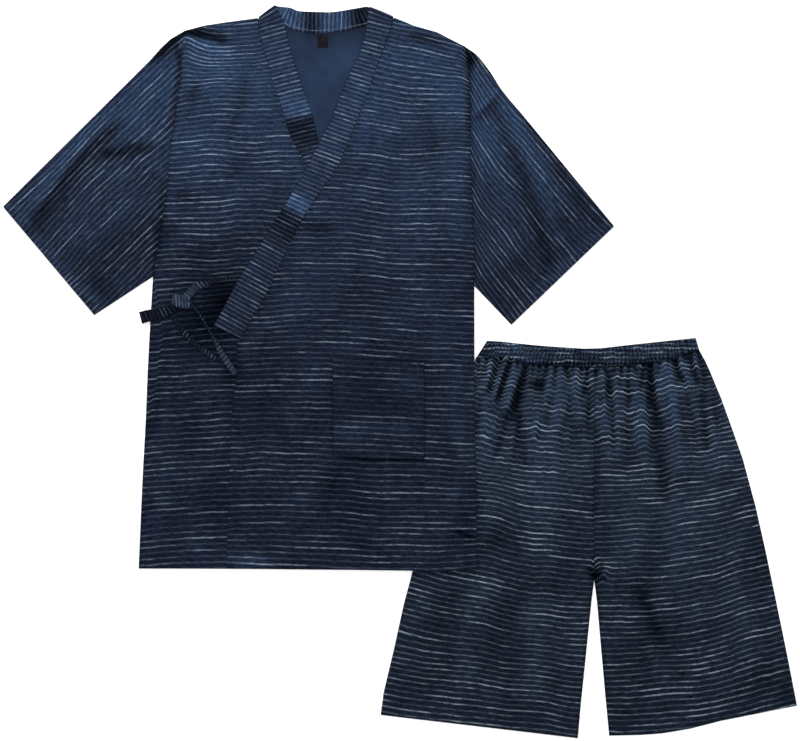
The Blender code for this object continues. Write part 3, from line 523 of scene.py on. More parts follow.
# Painted highlight on ridges, painted light and shade on sides turned to and away from the light, the step over which
# slopes are taken, painted shade in creases, soft caps of the painted light, the side that the light comes from, and
# painted shade along seams as depth and half width
RIDGE_TONE = 0.09
SLOPE_TONE = 2.6
SLOPE_STEP = 2.0
CREASE_TONE = 0.8
TONE_CAP = 1.3
SHORTS_CAP = 1.0
WAIST_CAP = 1.1
LIGHT_SIDE = (-0.35, 0.94)
SEAM_SHADES = ((0.3, 1.5), (0.25, 7.0))

# Painted shade in lines, as depth and half width: along a sleeve's fold and cuff, round the pocket and along its top,
# tack and bottom, below the waist seam, beside the inseam, and along the band's seam and free edge; the paler hem of
# a sleeve;
# and the band's looks: lean of its stripes, the x that this is measured from, painted light by y, and bright or dark
# places as tone, start and end of the rise and the fall
FOLD_SHADE = (0.5, 4.0)
CUFF_SHADE = (0.35, 2.0)
CUFF_HEM_TONE = 0.32
CUFF_HEM_RUN = (13.0, 18.0)
POCKET_AROUND_SHADE = (0.35, 2.5)
POCKET_TOP_SHADE = (0.7, 1.5)
POCKET_TACK_SHADE = (1.2, 1.5)
POCKET_LOW_SHADE = (2.2, 2.2)
POCKET_SHADE_RUN = (-90, -50)
BELOW_WAIST_SHADE = (1.3, 9.0)
INSEAM_SHADE = (0.7, 3.0)
INSEAM_SHADE_RUN = (285.0, 300.0)
BAND_SEAM_SHADE = (0.2, 0.04)
BAND_EDGE_SHADE = (0.3, 0.03)
BAND_BACK_TONE = 1.1
BAND_BACK_SHADES = ((-54, 2.0, 15), (-124, 1.5, 11))
UNDER_BAND_LOOK = (-0.1, -139, ((60, 0.2), (300, 0.45), (380, 0.75), (450, 0.7), (510, 0.3)),
                   ((0.35, 355, 361, 378, 402), (-1.1, 294, 332, 348, 361)))
OVER_BAND_LOOK = (0.58, -148, ((50, 0.15), (150, 0.3), (260, 0.5), (380, 0.75), (480, 0.55)),
                  ((0.8, 221, 228, 240, 264), (-1.05, 156, 200, 214, 229)))

# Colours of the yarns in linear light: ground and line where the tone is 0, and their change over one tone of painted
# light and shade, where it brightens and where it darkens
GROUND = (0.0056, 0.0082, 0.0165)
TIE_GROUND = (0.0078, 0.0096, 0.0166)
SHORTS_GROUND = (0.0070, 0.0108, 0.0195)
LINE = (0.100, 0.118, 0.152)
SHORTS_LINE = (0.150, 0.176, 0.215)
TONE_CHANGE = (2.25, 2.95, 3.2)
DARK_CHANGE = (2.95, 2.7, 2.6)
# Share of the painted light and shade that the pale lines take where it brightens and where it darkens, the plain
# inside's tone, and the ground's brightness at a line and midway between lines
YARN_RISE = 0.5
YARN_FALL = 0.8
PLAIN_TONE = 0.85
BROAD_LINE = (1.2, 0.86)

# Step between the lines' noises, lumps along the stripes by metre: wander, long dashes and short breaks of the
# line; then slubs, fuzz and crepe of the ground, as scale along and across the stripes and detail
LANE_STEP = 7.31
WANDER_SCALE = 60.0
DASH_SCALE = 13.0
BREAK_SCALE = 105.0
BREAK_RUN = (0.32, 0.61)
GROUND_LUMPS = ((90.0, 6.0, 3.0), (900.0, 7.0, 2.0), (420.0, 1.4, 2.0))

# The line: wander and middle, share of its width at full strength, contrast of the dashes and of each line's own
# strength, levels of the faint and the bright line at a break; then levels of slubs, fuzz and crepe, and the relief
LINE_PLACE = (0.10, 0.45)
LINE_CORE = 0.35
DASH_RUN = (0.47, 0.72)
OWN_SHARE = 0.12
FAINT_LEVELS = (0.48, 1.3)
BRIGHT_LEVELS = (0.4, 1.12)
SLUB_LEVELS = (0.25, 0.75, 0.45, 1.5)
FUZZ_LEVELS = (0.3, 0.7, -0.18, 0.22)
CREPE_LEVELS = (0.3, 0.7, 0.8, 1.2)
YARN_RELIEF = (0.6, 0.9, 0.5)
COTTON_BUMP = (0.6, 0.00022)
COTTON_SHEEN = {"Sheen_Weight": 0.01, "Sheen_Roughness": 0.5, "Sheen_Tint": (0.55, 0.65, 0.9, 1.0)}

# Plain cloths and threads
LABEL_CLOTH = (0.006, 0.006, 0.0075)
THREAD = (0.013, 0.017, 0.030)
BAND_THREAD = (0.13, 0.16, 0.21)
WAIST_THREAD = (0.10, 0.12, 0.16)

# Section of the doubled band: shares of its width from the seam, its faces as shares of its thickness, steps of its
# turn over the shoulder
BAND_SHARES = (0.0, 0.02, 0.06, 0.14, 0.28, 0.44, 0.6, 0.76, 0.88, 0.95, 0.985, 1.0)
BAND_CROWN = (0.5, 0.64, 0.82, 0.96, 1.05, 1.1, 1.1, 1.08, 1.04, 0.92, 0.74, 0.5)
BAND_BASE = (0.3, 0.12, 0.03, 0.0, 0.0, 0.0, 0.0, 0.0, 0.0, 0.03, 0.12, 0.3)
BAND_TURN_STEPS = 11

# Stitches: share of the length and of the size at each section, how far they rise, sit in and sink at the ends, and
# how far the hems' rows are from the edge
STITCH_SECTIONS = ((0.0, 0.3), (0.2, 1.0), (0.8, 1.0), (1.0, 0.3))
STITCH_RISE = 0.28
STITCH_SEAT = 0.05
STITCH_SINK = 0.12
SLEEVE_HEM = 17.0
JACKET_HEM = 16
SHORTS_HEM = 18

# Floor, lamps as name, place, size and power, and camera
FLOOR_HALF = 4.0
FLOOR_LEVEL = -0.0006
LAMPS = (("key", (-0.5, 1.9, 1.7), 1.3, 62.0), ("fill", (0.3, -0.6, 2.6), 2.6, 58.0))
SKY_LIGHT = 0.55
EYE = (0.0, 0.0014, 3.114)
LENS = 100.0
SENSOR = 36.0


def ease(value, start, end):
    """Run smoothly from 0 at start to 1 at end."""
    share = np.clip((value - start) / (end - start), 0.0, 1.0)
    return share * share * (3.0 - 2.0 * share)


def bell(value, width):
    """A smooth bump: 1 at 0, and almost 0 past twice the width."""
    return np.exp(-(value / width) ** 2)


def hump(x, y, height, centre_x, width_x, centre_y, width_y):
    """A smooth hump, or a dip, of a height at a place."""
    return height * bell(x - centre_x, width_x) * bell(y - centre_y, width_y)


def shade(away, depth, width):
    """A soft line with a depth and a half width."""
    return depth * bell(away, width)


def from_share(share, value):
    """A value from 0 to 1, raised to run from a share to 1."""
    return share + (1.0 - share) * value


def before(value, depth, start, end):
    """A depth that fades out between two values."""
    return depth * (1.0 - ease(value, start, end))


def between(value, rise_start, rise_end, fall_start, fall_end):
    """1 between a soft rise and a soft fall, 0 outside them."""
    return ease(value, rise_start, rise_end) * (1.0 - ease(value, fall_start, fall_end))


def curve(value, table):
    """Value on the line through a table's points."""
    return np.interp(value, [row[0] for row in table], [row[1] for row in table])


def edge_x(y, edge):
    """Place of an edge that runs down the layout, at each height."""
    return np.interp(-y, [-row[1] for row in edge], [row[0] for row in edge])


def rotated(x, y, degrees):
    """Coordinates along and across a direction."""
    angle = math.radians(degrees)
    return x * math.cos(angle) + y * math.sin(angle), y * math.cos(angle) - x * math.sin(angle)


def beside_line(x, y, start_x, start_y, end_x, end_y):
    """Length of a line, and how far each place is along it and to its right."""
    run_x, run_y = end_x - start_x, end_y - start_y
    length = math.hypot(run_x, run_y)
    along = ((x - start_x) * run_x + (y - start_y) * run_y) / length
    return length, along, ((x - start_x) * run_y - (y - start_y) * run_x) / length


def folds(x, y, table):
    """Height of all the folds of a table."""
    total = np.zeros_like(x)
    for *line, width, height in table:
        length, along, aside = beside_line(x, y, *line)
        total += height * bell(aside, width) * between(along, -width, width, length - width, length + width)
    return total


def creases(x, y, table):
    """Depth of sharp creases, each with its own width on its two sides."""
    total = np.zeros_like(x)
    for *line, left_width, right_width, depth in table:
        length, along, aside = beside_line(x, y, *line)
        reach = min(left_width + right_width, 0.4 * length)
        fade = between(along, -reach, reach, length - reach, length + reach)
        total += depth * bell(aside, np.where(aside > 0, right_width, left_width)) * fade
    return total


def pressed(height, depth):
    """Height of the cloth where its creases press it down and its ridges lift it."""
    return height * (1.0 - np.clip(PRESS * depth, 0.0, PRESS_LIMIT)) + RIDGE_RISE * np.clip(-depth, 0.0, 1.0)


def painted_spots(x, y, table):
    """Sum of soft places of painted light and shade."""
    total = np.zeros_like(x)
    for x0, y0, half_x, half_y, turn, tone in table:
        along, aside = rotated(x - x0, y - y0, turn)
        total += tone * np.exp(-((along / half_x) ** 2 + (aside / half_y) ** 2))
    return total


def noise(x, y, size, seed, turn=0.0):
    """Smooth noise from -1 to 1, with lumps of a size along and across a direction."""
    table = np.random.default_rng(seed).uniform(-1.0, 1.0, (NOISE_CELLS, NOISE_CELLS))
    along, aside = rotated(x, y, turn)
    along, aside = along / size[0] + 500.0, aside / size[1] + 500.0
    column, row = np.floor(along).astype(int), np.floor(aside).astype(int)
    share_x, share_y = ease(along - column, 0.0, 1.0), ease(aside - row, 0.0, 1.0)
    near, far = (table[(row + up) % NOISE_CELLS, column % NOISE_CELLS] * (1 - share_x)
                 + table[(row + up) % NOISE_CELLS, (column + 1) % NOISE_CELLS] * share_x for up in (0, 1))
    return near * (1 - share_y) + far * share_y


def noises(x, y, table, turn=0.0):
    """Sum of the noises of a table: height, size of the lumps, seed and own turn."""
    return sum(height * noise(x, y, size, seed, turn + sum(own)) for height, size, seed, *own in table)


def rumple(x, y, seed, turn=0.0):
    """Small unevenness of lying cloth, from 0 to 1."""
    return 0.5 + 0.5 * sum(share * noise(x, y, size, seed + step, turn + more)
                           for step, (share, size, more) in enumerate(RUMPLE_LUMPS))


def distance(x, y, *lines):
    """Distance from the nearest of some lines of points."""
    nearest = np.full_like(x, 1e6)
    for line in lines:
        for (x0, y0), (x1, y1) in zip(line, line[1:]):
            run_x, run_y = x1 - x0, y1 - y0
            share = np.clip(((x - x0) * run_x + (y - y0) * run_y) / (run_x ** 2 + run_y ** 2), 0.0, 1.0)
            nearest = np.minimum(nearest, np.hypot(x - x0 - share * run_x, y - y0 - share * run_y))
    return nearest


def from_shorts(x, y):
    """Distance from the edge of the shorts that the jacket hides."""
    return beside_line(x, y, *HIDDEN_EDGE)[2]


def shorts_ramp(x, y):
    """Height of the jacket's back over the corner of the shorts that it covers."""
    return SHORTS_STACK * (1.0 - ease(from_shorts(x, y), *RAMP_RUN)) * (1.0 - ease(y, *RAMP_TOP))


def front_ramp(x, y):
    """The same for the fronts, which are a little looser where the back bends."""
    slack = RAMP_SLACK * (1.0 - ease(from_shorts(x, y), *SLACK_RUN)) * (1.0 - ease(y, *SLACK_TOP))
    return shorts_ramp(x, y) + slack


def over_level(x, y):
    """Height of the over front's underside: over the other front, then down beside it."""
    share = 1.0 - ease(x - curve(y, UNDER_LIMIT), *OVER_RUN)
    return UNDER_LEVEL + (OVER_LEVEL - UNDER_LEVEL) * share


def under_relief(x, y):
    """Folds and unevenness of the under front and its sleeve."""
    clear_of_tie = ease(np.hypot(x - TIE_CENTRE[0], y - TIE_CENTRE[1]), *TIE_FADE)
    value = folds(x, y, RIGHT_FOLDS) * clear_of_tie + RUMPLE * rumple(x, y, 11, 80)
    return pressed(value, creases(x, y, RIGHT_CREASES)) * ease(curve(y, VISIBLE_LIMIT) - x, *EDGE_FADE)


def under_top(x, y):
    """Upper face of the under front."""
    return UNDER_LEVEL + CLOTH + front_ramp(x, y) + under_relief(x, y)


def over_relief(x, y):
    """Folds and unevenness of the over front and its sleeve."""
    (x0, y1), (x1, y0) = POCKET_TOP[0], POCKET_BOTTOM[-1]
    beside = np.maximum(np.abs(x - (x0 + x1) / 2) - (x1 - x0) / 2, np.abs(y - (y0 + y1) / 2) - (y1 - y0) / 2)
    value = folds(x, y, LEFT_FOLDS) * ease(beside, *POCKET_FADE) + RUMPLE * rumple(x, y, 21, 95)
    clear = ease(x - edge_x(y, BAND_SEAM_OVER + FREE_EDGE_OVER), *EDGE_FADE)
    return pressed(value, creases(x, y, LEFT_CREASES)) * clear


def over_top(x, y):
    """Upper face of the over front."""
    return over_level(x, y) + CLOTH + front_ramp(x, y) + over_relief(x, y)


def leg_fade(x, y):
    """Where the shorts are free to fold: not at the outer edges, nor under the jacket."""
    covered = np.minimum(ease(x, *COVERED_X) + ease(-y, *COVERED_Y), 1.0)
    sides = ease(x - edge_x(y, OUTSEAM_RIGHT), *LEG_FADE) * ease(edge_x(y, OUTSEAM_LEFT) - x, *LEG_FADE)
    return covered * sides


def below_waist(x, y):
    """Distance below the waist seam."""
    return curve(x, WAIST_SEAM) - y


def fine_gathers(x, y):
    """Small gathers that fade out below the waist seam."""
    below = below_waist(x, y)
    place = x / FINE_PITCH + 0.35 * noise(x, y, (30, 60), 31) + below / FINE_LEAN
    return np.abs(np.sin(math.pi * place)) ** 1.4 * (1.0 - ease(below, *FINE_END))


def pleats(x, y):
    """Irregular pleats that fan out below the waist seam, from -1 to 1."""
    below = np.maximum(below_waist(x, y), 0.0)
    fan = CENTRE_SEAM + (x - CENTRE_SEAM) / (1.0 + PLEAT_FAN * below)
    return noises(fan, below, PLEAT_WAVES) * between(below, *PLEAT_START, *PLEAT_END)


def shorts_relief(x, y):
    """Folds, gathers and unevenness of the shorts' fronts."""
    puff = PUFF_HEIGHT * ease(-y, *PUFF_TOP) * ease(y, *PUFF_END)
    small = PLEAT_HEIGHT * (PLEAT_MEAN + pleats(x, y)) * ease(-y, *PLEAT_HIGH) * ease(y, *PLEAT_LOW)
    value = folds(x, y, SHORTS_FOLDS) + puff + fine_gathers(x, y) + small + RUMPLE * rumple(x, y, 41, 80)
    return pressed(value, creases(x, y, SHORTS_CREASES)) * leg_fade(x, y)


def jacket_stripe(y):
    """Number of the stripe at a place on the jacket's cloth."""
    return -np.log((BODY_PITCH - BODY_PITCH_CHANGE * y) / BODY_PITCH) / BODY_PITCH_CHANGE


def lift(x, y, places, table, origin):
    """How far the stripe through each place has risen since the origin, traced back along the table's slopes."""
    rows = sorted(table)
    heights = [row[0] for row in rows]
    slopes = np.tan(np.radians([row[1:] for row in rows]))
    here_x, here_y = np.array(x, float), np.array(y, float)
    run = (origin - here_x) / TRACE_STEPS
    for _ in range(TRACE_STEPS):
        row = np.interp(here_y, heights, range(len(rows)))
        column = np.interp(here_x + run / 2, places, range(len(places)))
        low, left = np.minimum(row.astype(int), len(rows) - 2), np.minimum(column.astype(int), len(places) - 2)
        up, along = ease(row - low, 0.0, 1.0), column - left
        below = slopes[low, left] * (1 - along) + slopes[low, left + 1] * along
        above = slopes[low + 1, left] * (1 - along) + slopes[low + 1, left + 1] * along
        here_x, here_y = here_x + run, here_y + run * (below * (1 - up) + above * up)
    return y - here_y


def patch(left, right, top, bottom, grid):
    """Fill four edges with a grid that is finer next to them. The sides run down, the ends run to the right."""
    columns, rows = grid
    width = math.dist(top[0], top[-1]) / 2 + math.dist(bottom[0], bottom[-1]) / 2
    across, down = shares(columns, width), shares(rows, edge_length(left))
    left, right, top, bottom = spread(left, down), spread(right, down), spread(top, across), spread(bottom, across)
    top[0], top[-1], bottom[0], bottom[-1] = left[0], right[0], left[-1], right[-1]
    across, down = across[None, :, None], down[:, None, None]
    sides = (1 - across) * left[:, None] + across * right[:, None]
    ends = (1 - down) * top[None] + down * bottom[None]
    upper = (1 - across) * left[0] + across * right[0]
    lower = (1 - across) * left[-1] + across * right[-1]
    return sides + ends - (1 - down) * upper - down * lower


def edge_length(edge):
    """Length of a line of points."""
    return float(np.hypot(*np.diff(np.array(edge, float), axis=0).T).sum())


def shares(count, length):
    """Even shares of a length, with some more next to its two ends."""
    near = np.array(EDGE_ROWS) / length
    middle = np.linspace(0.0, 1.0, count + 1)[1:-1]
    middle = middle[(middle > 1.5 * near[-1]) & (middle < 1.0 - 1.5 * near[-1])]
    return np.concatenate(([0.0], near, middle, 1.0 - near[::-1], [1.0]))


def run_along(points):
    """How far each of some points is along their line."""
    return np.concatenate(([0.0], np.cumsum(np.hypot(*np.diff(points, axis=0).T))))


def spread(edge, places):
    """Points at shares of an edge's length."""
    points = np.array(edge, float)
    run = run_along(points)
    return np.column_stack([np.interp(places * run[-1], run, points[:, axis]) for axis in range(2)])


def shift(edge, step):
    """Move an edge sideways, for the gap at a seam."""
    return tuple((x + step, y) for x, y in edge)


def add_piece(name, points, faces, cloth, tone, materials, choice=None):
    """Make one piece from points in millimetres, with its cloth coordinates and its tone of painted light and shade
    at each point.
    """
    mesh = bpy.data.meshes.new(name)
    mesh.from_pydata((np.asarray(points, float) * MM).tolist(), [], faces)
    for material in materials:
        mesh.materials.append(material)
    layer = mesh.uv_layers.new(name="cloth")
    corners = np.zeros(len(mesh.loops), int)
    mesh.loops.foreach_get("vertex_index", corners)
    layer.data.foreach_set("uv", np.asarray(cloth, float)[corners].ravel())
    # The tone is painted light and shade with some random mottle, stored as two colours that the materials multiply
    # in: one for the ground and a weaker one for the pale lines
    tone = np.asarray(tone, float)[:, None]
    yarn_tone = np.where(tone > 0.0, YARN_RISE * tone, YARN_FALL * tone)
    for layer_name, value in (("mottle_and_painted_light", tone), ("yarn_with_painted_light", yarn_tone)):
        change = np.where(value > 0.0, np.array(TONE_CHANGE)[None, :], np.array(DARK_CHANGE)[None, :])
        colours = np.column_stack((change ** value, np.ones(len(value))))
        mesh.attributes.new(layer_name, "FLOAT_COLOR", "POINT").data.foreach_set("color", colours.ravel())
    if choice is not None:
        mesh.polygons.foreach_set("material_index", np.asarray(choice, int))
    mesh.polygons.foreach_set("use_smooth", np.ones(len(mesh.polygons), bool))
    mesh.update()
    return in_scene(name, mesh)


def in_scene(name, data):
    """A new object in the scene."""
    thing = bpy.data.objects.new(name, data)
    bpy.context.scene.collection.objects.link(thing)
    return thing


def grid_faces(rows, columns, start=0, closed=False, flip=False):
    """Quads of a grid of points, whose columns may close into a ring."""
    index = start + np.arange(rows * columns).reshape(rows, columns)
    if closed:
        index = np.column_stack((index, index[:, :1]))
    quads = np.stack((index[:-1, :-1], index[1:, :-1], index[1:, 1:], index[:-1, 1:]), axis=-1).reshape(-1, 4)
    return (quads[:, ::-1] if flip else quads).tolist()


def tube_faces(rows, sides):
    """Faces of a closed tube and its two ends."""
    ends = [list(range(sides))[::-1], list(range((rows - 1) * sides, rows * sides))]
    return grid_faces(rows, sides, closed=True) + ends


def shell(name, flat, top, thickness, cloth, tone, materials):
    """A wall of cloth: an upper face, a lower face below it and a rim. The first material is the upper face's."""
    rows, columns = flat.shape[:2]
    count = rows * columns
    thickness = np.broadcast_to(thickness, top.shape)
    over = np.concatenate((flat, top[..., None]), axis=2).reshape(-1, 3)
    under = np.concatenate((flat, (top - thickness)[..., None]), axis=2).reshape(-1, 3)
    upper = grid_faces(rows, columns)
    lower = grid_faces(rows, columns, count, flip=True)
    index = np.arange(count).reshape(rows, columns)
    rim = list(index[:, 0]) + list(index[-1, 1:]) + list(index[-2::-1, -1]) + list(index[0, -2:0:-1])
    band = [(int(there), int(here), int(here) + count, int(there) + count)
            for here, there in zip(rim, rim[1:] + rim[:1])]
    choice = [0] * len(upper) + [1] * len(lower) + [0] * len(band)
    cloth, tone = cloth.reshape(-1, 2), tone.ravel()
    return add_piece(name, np.concatenate((over, under)), upper + lower + band, np.concatenate((cloth, cloth)),
                     np.concatenate((tone, tone)), materials, choice)


def relief_tone(x, y, relief, base, table, sharp):
    """Tone of a place as painted light and shade: brighter towards the top from the base table, painted spots,
    painted shade in creases, painted highlights on ridges and on sides turned to the light, and a random mottle.
    """
    height = relief(x, y)
    slope_x = (relief(x + SLOPE_STEP, y) - relief(x - SLOPE_STEP, y)) / (2 * SLOPE_STEP)
    slope_y = (relief(x, y + SLOPE_STEP) - relief(x, y - SLOPE_STEP)) / (2 * SLOPE_STEP)
    facing = -(slope_x * LIGHT_SIDE[0] + slope_y * LIGHT_SIDE[1])
    # Painted light down the cloth from the base table, less painted shade in the creases
    own = curve(y, base) - CREASE_TONE * creases(x, y, sharp)
    tone = own + painted_spots(x, y, table) + RIDGE_TONE * (height - 1.0) + SLOPE_TONE * facing + noises(x, y, MOTTLE)
    return capped(tone, TONE_CAP)


def capped(tone, limit):
    """Tone that nears a limit softly."""
    return np.where(tone > 0.0, limit * (1.0 - np.exp(-np.maximum(tone, 0.0) / limit)), tone)


def seam_shade(away):
    """Painted shade where a seam turns the cloth in."""
    return -sum(shade(away, *line) for line in SEAM_SHADES)


def edge_round(away):
    """How far the cloth turns down at its edge."""
    return EDGE_ROUND * (1.0 - ease(away, 0.0, EDGE_WIDTH))


def puckers(x, y, away):
    """Small puckers beside a seam."""
    return PUCKER * (0.5 + 0.5 * noise(x, y, (8, 8), 81)) * bell(away - 5.0, 5.0)


def front_lift(x, y, places, slopes, origin, peak, waves):
    """Rise of the stripes on a front: along their slopes, at the shoulder's peak and in small waves."""
    height, centre, width, start, end = peak
    rise = lift(x, y, places, slopes, origin) + height * bell(x - centre, width) * ease(y, start, end)
    return rise + noises(x, y, waves)


def under_lift(x, y):
    """Rise of the stripes on the under front."""
    return front_lift(x, y, UNDER_SLOPE_X, UNDER_SLOPES, UNDER_ORIGIN, UNDER_PEAK, UNDER_WAVES)


def over_lift(x, y):
    """Rise of the stripes on the over front."""
    return front_lift(x, y, OVER_SLOPE_X, OVER_SLOPES, OVER_ORIGIN, OVER_PEAK, OVER_WAVES)


def body_cloth(x, y, rise):
    """Cloth coordinates on the body: along a stripe in metres, and the stripe's number."""
    return np.stack((x * MM, jacket_stripe(y - rise)), axis=-1)


def jacket_back(materials):
    """The back: plain inside upwards, stripes below."""
    left = shift(ARMHOLE_RIGHT, SEAM) + SIDE_RIGHT[1:]
    right = shift(ARMHOLE_LEFT, -SEAM) + SIDE_LEFT[1:]
    top = SHOULDER_LINE_RIGHT[:-1] + BACK_NECK_SEAM + SHOULDER_LINE_LEFT[1:]
    flat = patch(left, right, top, HEM_BACK, BACK_GRID)
    x, y = flat[..., 0], flat[..., 1]
    height = shorts_ramp(x, y) + CLOTH
    # Darker below the collar on the right, and towards the left side
    tone = PLAIN_TONE + 0.2 * noise(x, y, (50, 30), 61, 60) + seam_shade(distance(x, y, BACK_NECK_SEAM))
    tone = tone - 0.5 * ease(y, 440, 478) * ease(x, -150, -40) - 0.25 * ease(-x, 60, 190)
    piece = shell("jacket_back_shell", flat, height, CLOTH, body_cloth(x, y, 0.0 * x), tone, materials)
    return finish_piece(piece, "jacket_back")


def finish_piece(piece, node):
    """Let a piece stand for its node and ride on the root body."""
    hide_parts(node)
    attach(piece, "root")
    return piece


def front_under(materials):
    """The wearer's right front."""
    left = shift(ARMHOLE_RIGHT, SEAM) + SIDE_RIGHT[1:]
    right = BAND_SEAM_UNDER + FREE_EDGE_UNDER
    flat = patch(left, right, SHOULDER_LINE_RIGHT, HEM_UNDER, UNDER_GRID)
    x, y = flat[..., 0], flat[..., 1]
    away = distance(x, y, left, right, SHOULDER_LINE_RIGHT, HEM_UNDER)
    seams = np.minimum(distance(x, y, ARMHOLE_RIGHT), distance(x, y, BAND_SEAM_UNDER) + 2.0)
    height = under_top(x, y) - edge_round(away) + side_roll(x, y)
    tone = relief_tone(x, y, under_relief, JACKET_PAINTED_LIGHT, JACKET_PAINTED_SPOTS, RIGHT_CREASES) + seam_shade(seams)
    cloth = body_cloth(x, y, under_lift(x, y) + 3.0 * ease(side_place(x, y), -1.0, 1.0) * ease(y, -80.0, -50.0))
    piece = shell("front_under_shell", flat, height, CLOTH - edge_round(away), cloth, tone, materials)
    return finish_piece(piece, "front_under")


def side_place(x, y):
    """Distance to the right of the side seam, which is rolled a little to the front."""
    return x - curve(y, SIDE_SEAM)


def side_roll(x, y):
    """A fine welt along the rolled side seam."""
    return 0.4 * bell(side_place(x, y), 2.0) * ease(-y, -60.0, 0.0)


def front_over(materials):
    """The wearer's left front, wrapped over the other."""
    left = BAND_SEAM_OVER + FREE_EDGE_OVER
    right = shift(ARMHOLE_LEFT, -SEAM) + SIDE_LEFT[1:]
    flat = patch(left, right, SHOULDER_LINE_LEFT, HEM_OVER, OVER_GRID)
    x, y = flat[..., 0], flat[..., 1]
    away = distance(x, y, left, right, SHOULDER_LINE_LEFT, HEM_OVER)
    seams = np.minimum(distance(x, y, ARMHOLE_LEFT), distance(x, y, BAND_SEAM_OVER) + 2.5)
    height = over_top(x, y) - edge_round(away)
    tone = relief_tone(x, y, over_relief, JACKET_PAINTED_LIGHT, JACKET_PAINTED_SPOTS, LEFT_CREASES) + seam_shade(seams)
    # Painted shadow round the pocket on the front
    around = (POCKET_TOP[0],) + POCKET_BOTTOM + POCKET_TOP[::-1]
    tone -= shade(distance(x, y, around), *POCKET_AROUND_SHADE)
    piece = shell("front_over_shell", flat, height, CLOTH - edge_round(away), body_cloth(x, y, over_lift(x, y)),
                  tone, materials)
    return finish_piece(piece, "front_over")


def pocket_height(x, y):
    """Upper face of the pocket, a little fuller in the middle."""
    sewn = distance(x, y, *POCKET_SIDES, POCKET_BOTTOM)
    level = over_top(x, y) + LAYER + POCKET_SLACK
    return level + POCKET_FULLNESS * ease(sewn, 3.0, 30.0) + puckers(x, y, sewn)


def patch_pocket(materials):
    """The pocket, with a turned top edge."""
    flat = patch(*POCKET_SIDES, POCKET_TOP, POCKET_BOTTOM, POCKET_GRID)
    x, y = flat[..., 0], flat[..., 1]
    away = distance(x, y, *POCKET_SIDES, POCKET_TOP, POCKET_BOTTOM)
    sewn = distance(x, y, *POCKET_SIDES, POCKET_BOTTOM)
    height = pocket_height(x, y) - edge_round(away)
    # Random tone, spots of painted light and shade, and painted shade along the sewn edges, the bottom, the top and
    # the tack
    tone = 0.1 + 0.25 * noise(x, y, (34, 20), 62) + painted_spots(x, y, POCKET_PAINTED_SPOTS) + 0.6 * seam_shade(sewn)
    tone -= shade(y - curve(x, POCKET_BOTTOM), *POCKET_LOW_SHADE) * ease(x, *POCKET_SHADE_RUN)
    tone -= shade(distance(x, y, POCKET_TOP), *POCKET_TOP_SHADE)
    tone -= shade(distance(x, y, POCKET_TACK), *POCKET_TACK_SHADE)
    rise = 2.4 - 0.045 * (x + 30) + 0.8 * noise(x, y, (40, 30), 65)
    piece = shell("patch_pocket_shell", flat, height, CLOTH - edge_round(away), body_cloth(x, y, rise), tone,
                  materials)
    return finish_piece(piece, "patch_pocket")


def sleeve(name, armhole, cuff, fold, underarm, relief, sharp, materials, direction, hook):
    """A sleeve as a flattened tube, open at the armhole and at the cuff."""
    flat = patch(armhole, cuff, fold, underarm, (SLEEVE_ROWS, SLEEVE_UPPER))
    lines = [flat[:, column] for column in range(flat.shape[1])]
    outer, inner = (np.array([ring(line, relief, inset) for line in lines]) for inset in (0.0, CLOTH))
    rows, sides = outer.shape[:2]
    count = rows * sides
    faces = grid_faces(rows, sides, closed=True)
    inside = grid_faces(rows, sides, count, closed=True, flip=True)
    ends = []
    for row in (0, rows - 1):
        for side in range(sides):
            here, there = row * sides + side, row * sides + (side + 1) % sides
            face = (here, there, there + count, here + count)
            ends.append(face if row == 0 else face[::-1])
    points = np.concatenate((outer.reshape(-1, 3), inner.reshape(-1, 3)))
    x, y = points[:, 0], points[:, 1]
    away, from_cuff = distance(x, y, armhole), distance(x, y, cuff)
    # Painted light and shade as on the fronts, painted shade along the armhole seam, the fold and the cuff, and a
    # paler hem
    tone = relief_tone(x, y, relief, JACKET_PAINTED_LIGHT, JACKET_PAINTED_SPOTS, sharp) + seam_shade(away)
    tone -= shade(distance(x, y, fold), *FOLD_SHADE) + shade(from_cuff, *CUFF_SHADE)
    tone += CUFF_HEM_TONE * (1.0 - ease(from_cuff, *CUFF_HEM_RUN))
    cloth = sleeve_cloth(x, y, away, direction, hook)
    piece = add_piece(name + "_shell", points, faces + inside + ends, cloth, tone, materials,
                      [0] * len(faces) + [1] * len(inside) + [0] * len(ends))
    return finish_piece(piece, name)


def ring(line, relief, inset):
    """One section round a sleeve, from its fold over the top to the underarm and back below."""
    run = run_along(line)
    width, radius = run[-1], (LAYER + CLOTH) / 2

    def place(along):
        return [np.interp(along, run, line[:, axis]) for axis in range(2)]

    def corner(centre, degrees):
        angle = math.radians(degrees)
        return (*place(centre + (radius - inset) * math.cos(angle)), radius + (radius - inset) * math.sin(angle))

    x, y = place(np.linspace(radius, width - radius, SLEEVE_UPPER))
    upper = list(zip(x, y, 2 * radius - inset + relief(x, y)))
    lower = [(*place(along), inset) for along in np.linspace(width - radius, radius, SLEEVE_LOWER)]
    return ([corner(radius, angle) for angle in (180, 135)] + upper
            + [corner(width - radius, angle) for angle in (45, 0)] + lower)


def sleeve_cloth(x, y, away, direction, hook):
    """Cloth coordinates on a sleeve, whose stripes run along it."""
    along, aside = rotated(x, y, direction)
    sway, bend = noises(x, y, SLEEVE_WAVES, direction), hook * np.exp(-away / SLEEVE_BEND)
    return np.stack((along * MM, (aside + sway + bend) / SLEEVE_PITCH), axis=-1)


